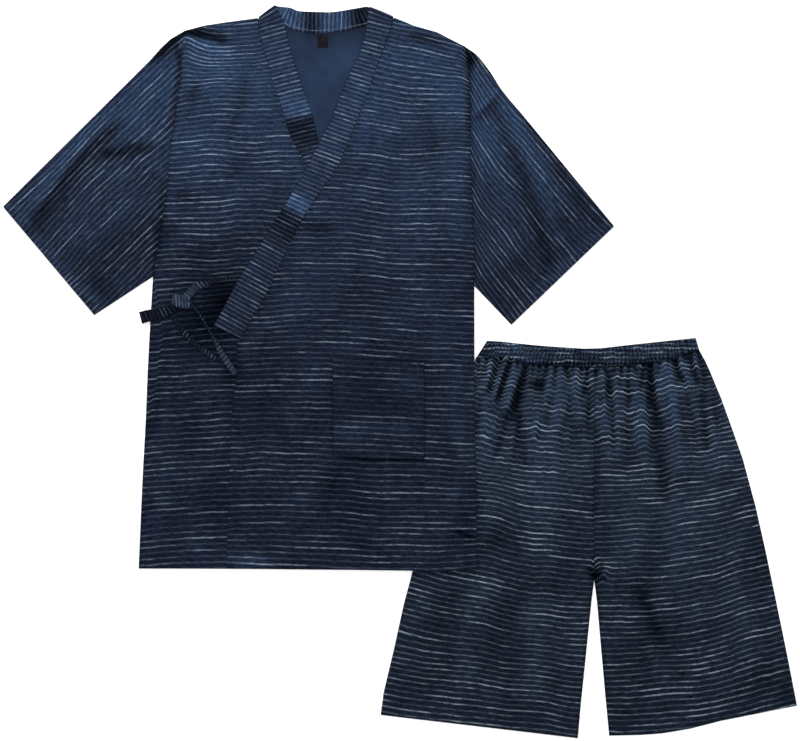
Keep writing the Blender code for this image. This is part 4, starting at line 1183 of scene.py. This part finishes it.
def section(seam, free, low, thickness, up=(0.0, 0.0, 1.0)):
    """A closed section of a doubled band: rounded edges and a softly crowned face."""
    seam, free, up = (np.array(point, float) for point in (seam, free, up))
    upper, lower = ([seam + (free - seam) * share + up * (low + thickness * rise)
                     for share, rise in zip(BAND_SHARES, rises)] for rises in (BAND_CROWN, BAND_BASE))
    return np.array(upper + lower[::-1]), np.array(BAND_SHARES + BAND_SHARES[::-1])


def band_height(x, y, base):
    """Underside of the over stretch of the band."""
    return over_level(x, y) - UNDER_LEVEL + front_ramp(x, y) + base


def collar_band(materials):
    """The long collar band: up the under front, round the back neck and down the over front."""
    sections, across, places, tones = [], [], [], []
    place = 0.0

    def add(seam, free, low, thickness, tone, up=(0.0, 0.0, 1.0), slope=None):
        nonlocal place
        points, share = section(seam, free, low, thickness, up)
        centre = points.mean(axis=0)
        step = centre - (sections[-1].mean(axis=0) if sections else centre)
        if slope is None:
            place += float(np.linalg.norm(step))
            offsets = 0.0 * share
        else:
            angle = math.radians(slope)
            way = math.copysign(1.0, slope) * np.array((-math.sin(angle), math.cos(angle), 0.0))
            place += float(step @ way)
            offsets = (points - centre) @ way
        sections.append(points)
        across.append(share)
        places.append(place + offsets)
        tones.append(0.0 * share + (tone(points[:, 0], points[:, 1]) if callable(tone) else tone))

    for free_x, free_y, seam_x, seam_y, low in smooth_rows(BAND_UNDER, BAND_STEPS):
        add((seam_x, seam_y, 0.0), (free_x, free_y, 0.0), low, BAND, partial(band_tone, look=UNDER_BAND_LOOK),
            slope=float(np.interp(free_y, *UNDER_BAND_SLOPE)))
    for seam, free, up, tone in fold_sections(BAND_FOLD_RIGHT, 1):
        add(seam, free, 0.0, BAND, tone, up)
    for free_x, free_y, seam_x, seam_y, low in smooth_rows(BAND_BACK, BAND_STEPS):
        add((seam_x, seam_y, 0.0), (free_x, free_y, 0.0), BAND, -BAND, back_band_tone)
    for seam, free, up, tone in reversed(fold_sections(BAND_FOLD_LEFT, -1)):
        add(seam, free, 0.0, BAND, tone, up)
    for free_x, free_y, seam_x, seam_y, base in smooth_rows(BAND_OVER, BAND_STEPS):
        middle = band_height(np.array([seam_x, free_x]), np.array([seam_y, free_y]), base)
        add((seam_x, seam_y, middle[0]), (free_x, free_y, middle[1]), 0.0, BAND,
            partial(band_tone, look=OVER_BAND_LOOK), slope=float(np.interp(free_y, *OVER_BAND_SLOPE)))
    sections, across = np.array(sections), np.array(across)
    rows, sides = sections.shape[:2]
    run = across * 0.035 + 0.7 * np.arange(rows)[:, None] / rows
    cloth = np.stack((run, np.array(places) / BAND_PITCH), axis=-1)
    # Painted shade along the band's seam and its free edge, and a small random tone
    tone = np.array(tones) - shade(across, *BAND_SEAM_SHADE) - shade(1 - across, *BAND_EDGE_SHADE)
    tone = tone + 0.12 * noise(sections[..., 0], sections[..., 1], (30, 18), 63)
    piece = add_piece("collar_band_shell", sections.reshape(-1, 3), tube_faces(rows, sides), cloth.reshape(-1, 2),
                      tone.ravel(), materials)
    return finish_piece(piece, "collar_band")


def band_tone(x, y, look):
    """Tone on a stretch of the band: painted light by height, with bright and dark places that run along its slanted
    stripes.
    """
    lean, origin, table, places = look
    along = y + lean * (x - origin)
    return curve(y, table) + sum(tone * between(along, *run) for tone, *run in places)


def back_band_tone(x, y):
    """Tone on the band's back stretch."""
    return BAND_BACK_TONE - sum(shade(x - centre, *line) for centre, *line in BAND_BACK_SHADES)


def fold_sections(row, side):
    """The band's turn over the shoulder: seam point, free point, outward direction round the fold, and tone, with
    painted shade where the turn faces sideways.
    """
    free_x, free_y, seam_x, seam_y = row
    length = math.hypot(free_x - seam_x, free_y - seam_y)
    out_x, out_y = side * (seam_y - free_y) / length, side * (free_x - seam_x) / length
    inner = GAP / 2
    result = []
    for angle in np.linspace(0.0, math.pi, BAND_TURN_STEPS):
        rise, push = math.cos(angle), math.sin(angle)
        seam, free = ((x + out_x * push * inner, y + out_y * push * inner, BAND + inner + rise * inner)
                      for x, y in ((seam_x, seam_y), (free_x, free_y)))
        # Painted shade where the turn faces sideways
        result.append((seam, free, (out_x * push, out_y * push, rise), 0.2 - 0.5 * push))
    return result


def neck_label(materials):
    """The bare label, with its ends turned under."""
    x0, y0, x1, y1 = LABEL
    edges = (((x0, y1), (x0, y0)), ((x1, y1), (x1, y0)), ((x0, y1), (x1, y1)), ((x0, y0), (x1, y0)))
    flat = patch(*edges, LABEL_GRID)
    x, y = flat[..., 0], flat[..., 1]
    away = distance(x, y, *edges)
    height = LAYER + CLOTH - 0.3 * (1.0 - ease(away, 0.0, 1.6)) + 0.15 * noise(x, y, (5, 4), 64)
    cloth = np.stack((x * MM, y / 1.1), axis=-1)
    piece = shell("neck_label_shell", flat, height, 0.7, cloth, 0.0 * x, materials)
    return finish_piece(piece, "neck_label")


def rounded(value, power):
    """A sine or cosine with fuller sides, keeping its sign."""
    return math.copysign(abs(value) ** power, value)


def ribbon(name, table, tones, materials):
    """A tie stretch: a thin sewn strip that tilts as it runs."""
    rows = smooth_rows(table, TIE_STEPS)
    shape = [(rounded(math.cos(angle), 0.5), rounded(math.sin(angle), 0.7))
             for angle in np.linspace(0.0, 2 * math.pi, TIE_SIDES + 1)[:-1]]
    sections, places = [], [0.0]
    for (x, y, z, width, tilt), way in zip(rows, np.gradient(rows[:, :3], axis=0)):
        way = way / np.linalg.norm(way)
        side = np.cross((0.0, 0.0, 1.0), way)
        side = side / np.linalg.norm(side)
        angle = math.radians(tilt)
        across = side * math.cos(angle) + np.cross(way, side) * math.sin(angle)
        through = np.cross(way, across)
        centre = np.array((x, y, z))
        sections.append([centre + across * width / 2 * a + through * TIE_CLOTH / 2 * b for a, b in shape])
    for before, here in zip(rows, rows[1:]):
        places.append(places[-1] + math.dist(before[:3], here[:3]))
    sections, places = np.array(sections), np.array(places)[:, None]
    aside = np.array([a for a, _ in shape])[None, :] + 0.0 * places
    cloth = np.stack((aside * 0.006 + places * 0.01, (places + 1.2 * aside) / TIE_PITCH), axis=-1)
    # Painted light and shade along the stretch, and painted shade at its edges
    tone = np.interp(places / places[-1], np.linspace(0, 1, len(tones)), tones) - 0.5 * np.abs(aside) ** 6
    piece = add_piece(name + "_shell", sections.reshape(-1, 3), tube_faces(*sections.shape[:2]),
                      cloth.reshape(-1, 2), tone.ravel(), materials)
    width = max(float(np.mean(rows[:, 3])), TIE_LEAST) * MM
    return finish_piece(piece, name)


def tie_knot(materials):
    """The knot: a strip wound round the others, as a pillow with two wraps."""
    points, cloth, tone = [], [], []
    for step in range(KNOT_RINGS + 1):
        angle = math.pi * (KNOT_SPAN[0] + KNOT_SPAN[1] * step / KNOT_RINGS)
        share, belly = rounded(math.cos(angle), 0.6), math.sin(angle) ** 0.5
        for side in range(KNOT_SIDES):
            around = 2 * math.pi * side / KNOT_SIDES
            from_groove = share - KNOT_GROOVE_PLACE[0] - KNOT_GROOVE_PLACE[1] * math.cos(around)
            groove = 1.0 - shade(from_groove, KNOT_GROOVE, KNOT_GROOVE_WIDTH)
            length = KNOT_SIZE[0] * share
            aside = KNOT_SIZE[1] * belly * groove * rounded(math.cos(around), 0.8)
            rise = KNOT_SIZE[2] * belly * groove * math.sin(around)
            x, y = rotated(length, aside, -KNOT_TURN)
            points.append((KNOT_CENTRE[0] + x, KNOT_CENTRE[1] + y, KNOT_CENTRE[2] + rise))
            cloth.append((aside * MM, (length + 0.3 * aside) / KNOT_PITCH))
            # Painted shade towards the knot's ends and in its groove
            tone.append(0.75 - 0.8 * (1 - belly) - 5.0 * (1.0 - groove))
    piece = add_piece("tie_knot_shell", points, tube_faces(KNOT_RINGS + 1, KNOT_SIDES), cloth, tone, materials)
    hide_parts("tie_knot")
    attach(piece, "root")
    return piece


def leg_cloth(x, y, rise):
    """Cloth coordinates on the shorts."""
    height = y - rise
    pitch = np.interp(height, (-520, 30), (SHORTS_PITCH[1], SHORTS_PITCH[0]))
    return np.stack((x * MM, height / pitch), axis=-1)


def shorts_top(x, y):
    """Upper face of the shorts' fronts."""
    return LAYER + CLOTH + shorts_relief(x, y)


def shorts_front(name, left, right, top, bottom, places, slopes, materials):
    """A front panel of the shorts with its pleats, gathers and folds."""
    leg = name.split("_")[-1]
    flat = patch(left, right, top, bottom, SHORTS_GRID)
    x, y = flat[..., 0], flat[..., 1]
    away = distance(x, y, left, right, top, bottom)
    below, gathers, pleated = below_waist(x, y), fine_gathers(x, y), pleats(x, y)
    # Painted light and shade as on the jacket, painted shade along the centre seam, the waist seam, below the waist
    # and beside the inseam, and painted light and shade on the pleats and fine gathers
    tone = relief_tone(x, y, shorts_relief, SHORTS_PAINTED_LIGHT, SHORTS_PAINTED_SPOTS, SHORTS_CREASES) - 0.1
    tone += seam_shade(distance(x, y, INSEAM_RIGHT[:2])) + 0.8 * seam_shade(distance(x, y, top))
    tone -= shade(below, *BELOW_WAIST_SHADE) * (1.0 - gathers)
    tone += PLEAT_TONE * pleated + (gathers - FINE_MEAN) * before(below, *FINE_TONE)
    inseam = distance(x, y, left if leg == "left" else right)
    tone = capped(tone - shade(inseam, *INSEAM_SHADE) * ease(-y, *INSEAM_SHADE_RUN), SHORTS_CAP)
    rise = lift(x, y, places, slopes, CENTRE_SEAM) + FOLD_RISE * folds(x, y, SHORTS_FOLDS) + FINE_RISE * gathers
    rise += PLEAT_RISE * pleated + CREASE_RISE * creases(x, y, SHORTS_CREASES) + noises(x, y, SHORTS_WAVES)
    rise += hump(x, y, *CROTCH_DIP) + hump(x, y, *CROTCH_RISE) * (x > CENTRE_SEAM)
    rise += LEFT_LEG_RISE if leg == "left" else 0.0
    height = shorts_top(x, y) - edge_round(away)
    piece = shell(name + "_shell", flat, height, CLOTH - edge_round(away), leg_cloth(x, y, rise), tone, materials)
    return finish_piece(piece, name)


def shorts_back(name, left, right, top, bottom, materials):
    """A back panel of the shorts, flat on the surface."""
    flat = patch(left, right, top, bottom, SHORTS_BACK_GRID)
    x, y = flat[..., 0], flat[..., 1]
    piece = shell(name + "_shell", flat, CLOTH + 0.0 * x, CLOTH, leg_cloth(x, y, 0.0 * x), 0.0 * x, materials)
    return finish_piece(piece, name)


def waistband_front(materials):
    """The front of the waistband: fine gathers between two rows of stitching."""
    seam = tuple((x, y + SEAM) for x, y in WAIST_SEAM)
    across = np.linspace(0.0, 1.0, WAIST_COLUMNS + 1)
    down = np.linspace(0.0, 1.0, WAIST_ROWS + 1)
    top, low = spread(WAIST_TOP, across), spread(seam, across)
    flat = top[None] + (low - top)[None] * down[:, None, None]
    x, y = flat[..., 0], flat[..., 1]
    share = down[:, None] + 0.0 * x
    place = across[None, :] * WAIST_GATHERS + noises(x, y, GATHER_WAVES)
    ridge = (0.5 - 0.5 * np.cos(2 * math.pi * place)) ** RIDGE_POWER
    uneven = from_share(UNEVEN_MEAN, noise(x, y, (5, 6), 53))
    channel = np.abs(np.sin(3 * math.pi * share)) ** CHANNEL_POWER
    smooth_end = ease(x, *SMOOTH_END)
    rise = GATHER_RISE * ridge * uneven * from_share(LOW_SHARE, channel) * from_share(LOW_SHARE, smooth_end)
    turned = before(share, *TURNED_TOP) + TURNED_LOW[0] * ease(share, *TURNED_LOW[1:])
    height = LAYER + GATHER_BASE + rise + GROOVE_DEPTH * (channel - 1.0) - turned

    # Painted highlights on the gathers, painted shade in the grooves and at the turned top
    tone = WAIST_TONE + WAIST_RIDGE_TONE * ridge * uneven * from_share(GROOVE_SHARE, channel)
    tone += painted_spots(x, y, WAIST_PAINTED_SPOTS) - SMOOTH_SHADE * (1.0 - smooth_end)
    tone -= before(share, *TURNED_SHADE) + GROOVE_SHADE * (1.0 - channel) ** 2
    low_row = ease(share, *LOW_ROW) * ease(x, *LOW_ROW_START) * (1.0 - LOW_ROW_FADE[0] * ease(x, *LOW_ROW_FADE[1:]))
    tone = capped(tone + WAIST_NOISE * noise(x, y, (30, 7), 54) - LOW_ROW_SHADE * low_row, WAIST_CAP)

    stripe = y / WAIST_PITCH + 0.12 * ridge + 0.25 * noise(x, y, (9, 9), 55)
    cloth = np.stack((x * MM * WAIST_STRETCH, stripe), axis=-1)
    piece = shell("waistband_front_shell", flat, height, height - LAYER, cloth, tone, materials)
    return finish_piece(piece, "waistband_front")


def waistband_back(materials):
    """The back of the waistband, flat on the surface."""
    seam = tuple((x, y + SEAM) for x, y in WAIST_SEAM)
    flat = patch((WAIST_TOP[0], seam[0]), (WAIST_TOP[-1], seam[-1]), WAIST_TOP, seam, WAIST_BACK_GRID)
    x, y = flat[..., 0], flat[..., 1]
    cloth = np.stack((x * MM * WAIST_STRETCH, y / WAIST_PITCH), axis=-1)
    piece = shell("waistband_back_shell", flat, CLOTH + 0.0 * x, CLOTH, cloth, 0.0 * x, materials)
    return finish_piece(piece, "waistband_back")


def stitch_row(line, height, length=3.0, gap=1.3, width=0.32):
    """Small thread stitches along a line, sitting on the cloth below them."""
    total = edge_length(line)
    count = int(total / (length + gap))
    points, faces = [], []
    starts = (np.arange(count) + 0.5) * total / count
    ends = np.clip(starts + length / 2, 0, total)
    starts = np.clip(starts - length / 2, 0, total)
    first, last = spread(line, starts / total), spread(line, ends / total)
    for (x0, y0), (x1, y1) in zip(first, last):
        run = math.hypot(x1 - x0, y1 - y0)
        side_x, side_y = -(y1 - y0) / run * width, (x1 - x0) / run * width
        base = len(points)
        for share, size in STITCH_SECTIONS:
            x, y = x0 + (x1 - x0) * share, y0 + (y1 - y0) * share
            z = float(height(np.array([x]), np.array([y]))[0])
            z -= STITCH_SINK if size < 1 else 0.0
            points += [(x + side_x * size, y + side_y * size, z - STITCH_SEAT), (x, y, z + STITCH_RISE * size),
                       (x - side_x * size, y - side_y * size, z - STITCH_SEAT)]
        for step in range(3):
            here = base + 3 * step
            for side in range(3):
                there = here + (side + 1) % 3
                faces.append((here + side, there, there + 3, here + side + 3))
        faces += [(base + 2, base + 1, base), (base + 9, base + 10, base + 11)]
    return points, faces


def stitching(name, rows, material):
    """All the stitch rows of a garment as one piece."""
    points, faces = [], []
    for line, height, *sizes in rows:
        new_points, new_faces = stitch_row(line, height, *sizes)
        faces += [tuple(place + len(points) for place in face) for face in new_faces]
        points += new_points
    piece = add_piece(name, points, faces, np.zeros((len(points), 2)), np.zeros(len(points)), [material])
    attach(piece, "root")
    return piece


def inset_line(start, end, step):
    """A straight line moved to its left by a step."""
    (x0, y0), (x1, y1) = start, end
    share = step / math.hypot(x1 - x0, y1 - y0)
    side_x, side_y = -(y1 - y0) * share, (x1 - x0) * share
    return ((x0 + side_x, y0 + side_y), (x1 + side_x, y1 + side_y))


def socket(tree, target, value):
    """Feed a socket with another socket or a plain number."""
    if isinstance(value, bpy.types.NodeSocket):
        tree.links.new(value, target)
    else:
        target.default_value = value


def math_node(tree, kind, *values):
    """A math node on sockets or numbers."""
    node = tree.nodes.new("ShaderNodeMath")
    node.operation = kind
    for target, value in zip(node.inputs, values):
        socket(tree, target, value)
    return node.outputs[0]


def ramp_node(tree, value, low, high, start=0.0, end=1.0):
    """A soft step of a value from one number to another."""
    node = tree.nodes.new("ShaderNodeMapRange")
    node.interpolation_type = "SMOOTHSTEP"
    for name, number in (("From Min", low), ("From Max", high), ("To Min", start), ("To Max", end)):
        node.inputs[name].default_value = number
    socket(tree, node.inputs["Value"], value)
    return node.outputs[0]


def noise_node(tree, x, y, scale, detail=2.0, roughness=0.5):
    """Flat noise on two coordinates."""
    place = tree.nodes.new("ShaderNodeCombineXYZ")
    socket(tree, place.inputs[0], x)
    socket(tree, place.inputs[1], y)
    node = tree.nodes.new("ShaderNodeTexNoise")
    node.noise_dimensions = "2D"
    tree.links.new(place.outputs[0], node.inputs["Vector"])
    node.inputs["Scale"].default_value = scale
    node.inputs["Detail"].default_value = detail
    node.inputs["Roughness"].default_value = roughness
    return node.outputs[0]


def mix_node(tree, share, first, second, blend="MIX"):
    """A mix of two colours."""
    node = tree.nodes.new("ShaderNodeMix")
    node.data_type = "RGBA"
    node.blend_type = blend
    socket(tree, node.inputs[0], share)
    for target, value in ((node.inputs[6], first), (node.inputs[7], second)):
        if isinstance(value, tuple):
            target.default_value = (*value, 1.0)
        else:
            tree.links.new(value, target)
    return node.outputs[2]


def new_material(name):
    """A material with its tree and its shader."""
    material = bpy.data.materials.new(name)
    material.use_nodes = True
    return material, material.node_tree, material.node_tree.nodes["Principled BSDF"]


def split(tree, source):
    """The first two coordinates of a vector."""
    parts = tree.nodes.new("ShaderNodeSeparateXYZ")
    tree.links.new(source, parts.inputs[0])
    return parts.outputs[0], parts.outputs[1]


def stored_colour(tree, name):
    """A colour stored with the mesh."""
    node = tree.nodes.new("ShaderNodeAttribute")
    node.attribute_name = name
    return node.outputs["Color"]


def grey(tree, value):
    """A number as a colour."""
    node = tree.nodes.new("ShaderNodeCombineColor")
    for target in node.inputs:
        tree.links.new(value, target)
    return node.outputs[0]


def cloth_surface(tree, shader, colour, height, strength, depth, **values):
    """Colour, bump and plain values of a cloth's shader."""
    tree.links.new(colour, shader.inputs["Base Color"])
    for name, value in values.items():
        shader.inputs[name.replace("_", " ")].default_value = value
    bump = tree.nodes.new("ShaderNodeBump")
    bump.inputs["Strength"].default_value = strength
    bump.inputs["Distance"].default_value = depth
    tree.links.new(height, bump.inputs["Height"])
    tree.links.new(bump.outputs[0], shader.inputs["Normal"])


def striped_cotton(name, ground_colour=GROUND, line_colour=LINE, line_strength=1.0, line_width=0.17, dash=0.78,
                   faint=0.05):
    """Crepe cotton: a dark slubby ground with thin broken pale lines, from the cloth coordinates and the painted
    light and shade with mottle stored with the mesh.
    """
    material, tree, shader = new_material(name)
    times, plus, times_plus = (partial(math_node, tree, kind) for kind in ("MULTIPLY", "ADD", "MULTIPLY_ADD"))
    ramp, lumps = partial(ramp_node, tree), partial(noise_node, tree)
    place = tree.nodes.new("ShaderNodeUVMap")
    place.uv_map = "cloth"
    run, stripe = split(tree, place.outputs[0])

    # The line: where it runs, its long dashes and its short breaks
    lane = times(math_node(tree, "FLOOR", stripe), LANE_STEP)
    centre = times_plus(lumps(times(run, WANDER_SCALE), lane, 1.0), *LINE_PLACE)
    aside = math_node(tree, "ABSOLUTE", math_node(tree, "SUBTRACT", math_node(tree, "FRACT", stripe), centre))
    mask = ramp(aside, line_width * LINE_CORE, line_width, 1.0, 0.0)
    dashes = ramp(lumps(times(run, DASH_SCALE), lane, 1.0, 3.0), *DASH_RUN)
    broken = lumps(times(run, BREAK_SCALE), lane, 1.0, 3.0, 0.6)
    own = tree.nodes.new("ShaderNodeTexWhiteNoise")
    own.noise_dimensions = "1D"
    tree.links.new(lane, own.inputs["W"])
    base = times(times_plus(own.outputs[0], OWN_SHARE, faint), ramp(broken, *BREAK_RUN, *FAINT_LEVELS))
    bright = times(dashes, ramp(broken, *BREAK_RUN, *BRIGHT_LEVELS))
    line = times(mask, times(times_plus(bright, dash, base), line_strength))

    # The ground: slubs, fuzz and crepe, a little brighter near the line
    slub, fuzz, crepe = (lumps(times(run, along), times(stripe, across), 1.0, detail)
                         for along, across, detail in GROUND_LUMPS)
    level = plus(ramp(slub, *SLUB_LEVELS), ramp(fuzz, *FUZZ_LEVELS))
    level = times(times(level, ramp(crepe, *CREPE_LEVELS)), ramp(aside, 0.0, 0.5, *BROAD_LINE))
    # Ground and pale lines take the painted light and shade stored with the mesh
    ground = mix_node(tree, 1.0, stored_colour(tree, "mottle_and_painted_light"), ground_colour, "MULTIPLY")
    ground = mix_node(tree, 1.0, ground, grey(tree, level), "MULTIPLY")
    yarn_with_painted_light = mix_node(tree, 1.0, stored_colour(tree, "yarn_with_painted_light"), line_colour, "MULTIPLY")
    of_line, of_slub, of_fuzz = YARN_RELIEF
    height = plus(times(mask, of_line), plus(times(slub, of_slub), times(fuzz, of_fuzz)))
    cloth_surface(tree, shader, mix_node(tree, line, ground, yarn_with_painted_light), height, *COTTON_BUMP, Roughness=0.85,
                  Specular_IOR_Level=0.0, **COTTON_SHEEN)
    return material


def plain_weave(name, ground, contrast=0.12, scale=900.0, with_mottle_and_painted_light=True):
    """Plain woven cloth in one colour, with a fine weave."""
    material, tree, shader = new_material(name)
    times, plus = (partial(math_node, tree, kind) for kind in ("MULTIPLY", "ADD"))
    x, y = split(tree, tree.nodes.new("ShaderNodeTexCoord").outputs["Object"])
    weave = times(*(math_node(tree, "SINE", times(way, scale * 6.28)) for way in (x, y)))
    cloud = noise_node(tree, x, y, 60.0, 4.0)
    fine = noise_node(tree, x, y, 700.0, 3.0)
    value = plus(times(weave, contrast / 2),
                 plus(ramp_node(tree, cloud, 0.3, 0.7, 1.0 - contrast, 1.0 + contrast),
                      ramp_node(tree, fine, 0.3, 0.7, -contrast, contrast)))
    colour = mix_node(tree, 1.0, grey(tree, value), ground, "MULTIPLY")
    # Cloth with this flag takes the painted light and shade stored with the mesh
    if with_mottle_and_painted_light:
        colour = mix_node(tree, 1.0, colour, stored_colour(tree, "mottle_and_painted_light"), "MULTIPLY")
    cloth_surface(tree, shader, colour, plus(weave, fine), 0.4, 0.0001, Roughness=0.9, Specular_IOR_Level=0.03,
                  Sheen_Weight=0.02, Sheen_Roughness=0.5)
    return material


def thread(name, colour):
    """Sewing thread."""
    return plain_weave(name, colour, 0.3, 1500.0, False)


def floor_material():
    """Pale matt floor."""
    material, _, shader = new_material("floor_white")
    shader.inputs["Base Color"].default_value = (0.97, 0.97, 0.97, 1.0)
    shader.inputs["Roughness"].default_value = 1.0
    shader.inputs["Specular IOR Level"].default_value = 0.0
    return material


def area_light(name, place, size, power):
    """A soft square lamp turned to the middle of the layout."""
    light = bpy.data.lights.new(name, "AREA")
    light.shape = "SQUARE"
    light.size = size
    light.energy = power
    lamp = in_scene(name, light)
    lamp.location = place
    lamp.rotation_mode = "QUATERNION"
    lamp.rotation_quaternion = (-Vector(place)).to_track_quat("-Z", "Y")


def studio():
    """Floor, soft light and the camera straight above."""
    mesh = bpy.data.meshes.new("floor")
    corners = ((-1, -1), (1, -1), (1, 1), (-1, 1))
    mesh.from_pydata([(FLOOR_HALF * x, FLOOR_HALF * y, FLOOR_LEVEL) for x, y in corners], [], [(0, 1, 2, 3)])
    mesh.materials.append(floor_material())
    floor = in_scene("floor", mesh)
    for lamp in LAMPS:
        area_light(*lamp)
    scene = bpy.context.scene
    scene.world = bpy.data.worlds.new("studio")
    scene.world.use_nodes = True
    background = scene.world.node_tree.nodes["Background"]
    background.inputs["Color"].default_value = (1.0, 1.0, 1.0, 1.0)
    background.inputs["Strength"].default_value = SKY_LIGHT
    scene.view_settings.view_transform = "Standard"
    camera = bpy.data.cameras.new("camera")
    camera.lens = LENS
    camera.sensor_width = SENSOR
    camera.clip_end = 20.0
    scene.camera = in_scene("camera", camera)
    scene.camera.location = EYE


def build_jacket():
    """All the pieces of the jacket."""
    body = striped_cotton("jacket_cotton_stripe", line_strength=0.96, dash=0.7, faint=0.065)
    inside = plain_weave("cotton_inside", GROUND, 0.1)
    band = striped_cotton("band_cotton_stripe", line_width=0.19, dash=0.6, faint=0.09)
    pocket_cloth = striped_cotton("pocket_cotton_stripe", line_strength=0.62)
    tie = striped_cotton("tie_cotton_stripe", TIE_GROUND, line_strength=0.85, line_width=0.19, dash=0.75)
    label = plain_weave("label_black", LABEL_CLOTH, 0.25, 700.0, False)
    jacket_back([inside, body])
    front_under([body, inside])
    front_over([body, inside])
    sleeve("sleeve_right", shift(ARMHOLE_RIGHT, -SEAM), CUFF_RIGHT, FOLD_RIGHT, UNDERARM_RIGHT, under_relief,
           RIGHT_CREASES, [body, inside], 45, 3.0)
    sleeve("sleeve_left", shift(ARMHOLE_LEFT, SEAM), CUFF_LEFT, FOLD_LEFT, UNDERARM_LEFT, over_relief,
           LEFT_CREASES, [body, inside], -49, -9.0)
    collar_band([band])
    patch_pocket([pocket_cloth, inside])
    neck_label([label, label])
    # Tie stretches, each with painted light and shade along it
    ribbon("tie_tail", TIE_TAIL, (-1.0, -0.9, -1.0), [tie])
    tie_knot([tie])
    ribbon("tie_upper_loop", TIE_UPPER_LOOP, (0.8, 0.6, 0.1, -0.2), [tie])
    ribbon("tie_strap", TIE_STRAP, (0.5, 0.3, 0.4, 0.7, 0.6), [tie])
    ribbon("tie_lower_loop", TIE_LOWER_LOOP, (-0.7, -0.4, -0.1), [tie])
    jacket_stitching()


def jacket_stitching():
    """The stitches of the pocket, the hems and the back neck."""
    def sleeve_top(relief):
        return lambda x, y: LAYER + CLOTH + relief(x, y)

    left, right = POCKET_TOP[0][0] + 2.5, POCKET_TOP[1][0] - 2.5
    rows = [
        (((left, 16), (left, -113.6), (-69.6, -118.4), (-40, -121.4), (right, -121.4), (right, 11)), pocket_height),
        (((left, 1), (right, -3)), pocket_height),
        (POCKET_TACK, pocket_height),
        (tuple((x, y + JACKET_HEM) for x, y in HEM_OVER), over_top),
        (((-364, -260), (-246, -260)), under_top),
        (inset_line(*CUFF_RIGHT, SLEEVE_HEM), sleeve_top(under_relief)),
        (inset_line(*CUFF_LEFT, -SLEEVE_HEM), sleeve_top(over_relief))]
    stitching("jacket_stitching", rows, thread("jacket_thread", THREAD))
    neck = tuple((seam_x + 0.13 * (free_x - seam_x), seam_y + 0.13 * (free_y - seam_y))
                 for free_x, free_y, seam_x, seam_y, _ in smooth_rows(BAND_BACK[1:-1], BAND_STEPS))
    rows = [(neck, lambda x, y: BAND + 0.0 * x, 2.6, 1.0, 0.45)]
    stitching("band_stitching", rows, thread("pale_thread", BAND_THREAD))


def build_shorts():
    """All the pieces of the shorts."""
    body = striped_cotton("shorts_cotton_stripe", SHORTS_GROUND, SHORTS_LINE, dash=0.72, faint=0.075)
    inside = plain_weave("shorts_inside", SHORTS_GROUND, 0.1)
    waist = striped_cotton("waist_cotton_stripe", SHORTS_GROUND, SHORTS_LINE, 0.75, 0.22)
    right = (OUTSEAM_RIGHT, shift(INSEAM_RIGHT, -SEAM), WAIST_SEAM_RIGHT, HEM_RIGHT)
    left = (shift(INSEAM_LEFT, SEAM), OUTSEAM_LEFT, WAIST_SEAM_LEFT, HEM_LEFT)
    shorts_back("shorts_back_right", *right, [inside, body])
    shorts_back("shorts_back_left", *left, [inside, body])
    shorts_front("shorts_front_right", *right, RIGHT_LEG_SLOPE_X, RIGHT_LEG_SLOPES, [body, inside])
    shorts_front("shorts_front_left", *left, LEFT_LEG_SLOPE_X, LEFT_LEG_SLOPES, [body, inside])
    waistband_back([inside, waist])
    waistband_front([waist, inside])
    rows = [
        (inset_line(*HEM_RIGHT, SHORTS_HEM), shorts_top),
        (tuple((x, y + SHORTS_HEM) for x, y in HEM_LEFT), shorts_top)]
    stitching("shorts_stitching", rows, thread("shorts_thread", THREAD))
    upper, lower = (spread(edge, np.linspace(0.08, 1.0, 60)) for edge in (WAIST_TOP, WAIST_SEAM))
    rows = [(upper + (lower - upper) * share, lambda x, y: LAYER + GATHER_BASE + 0.05 + 0.0 * x, 1.7, 2.6, 0.3)
            for share in (1 / 3, 2 / 3)]
    stitching("waist_stitching", rows, thread("waist_thread", WAIST_THREAD))


studio()
build_shorts()
build_jacket()
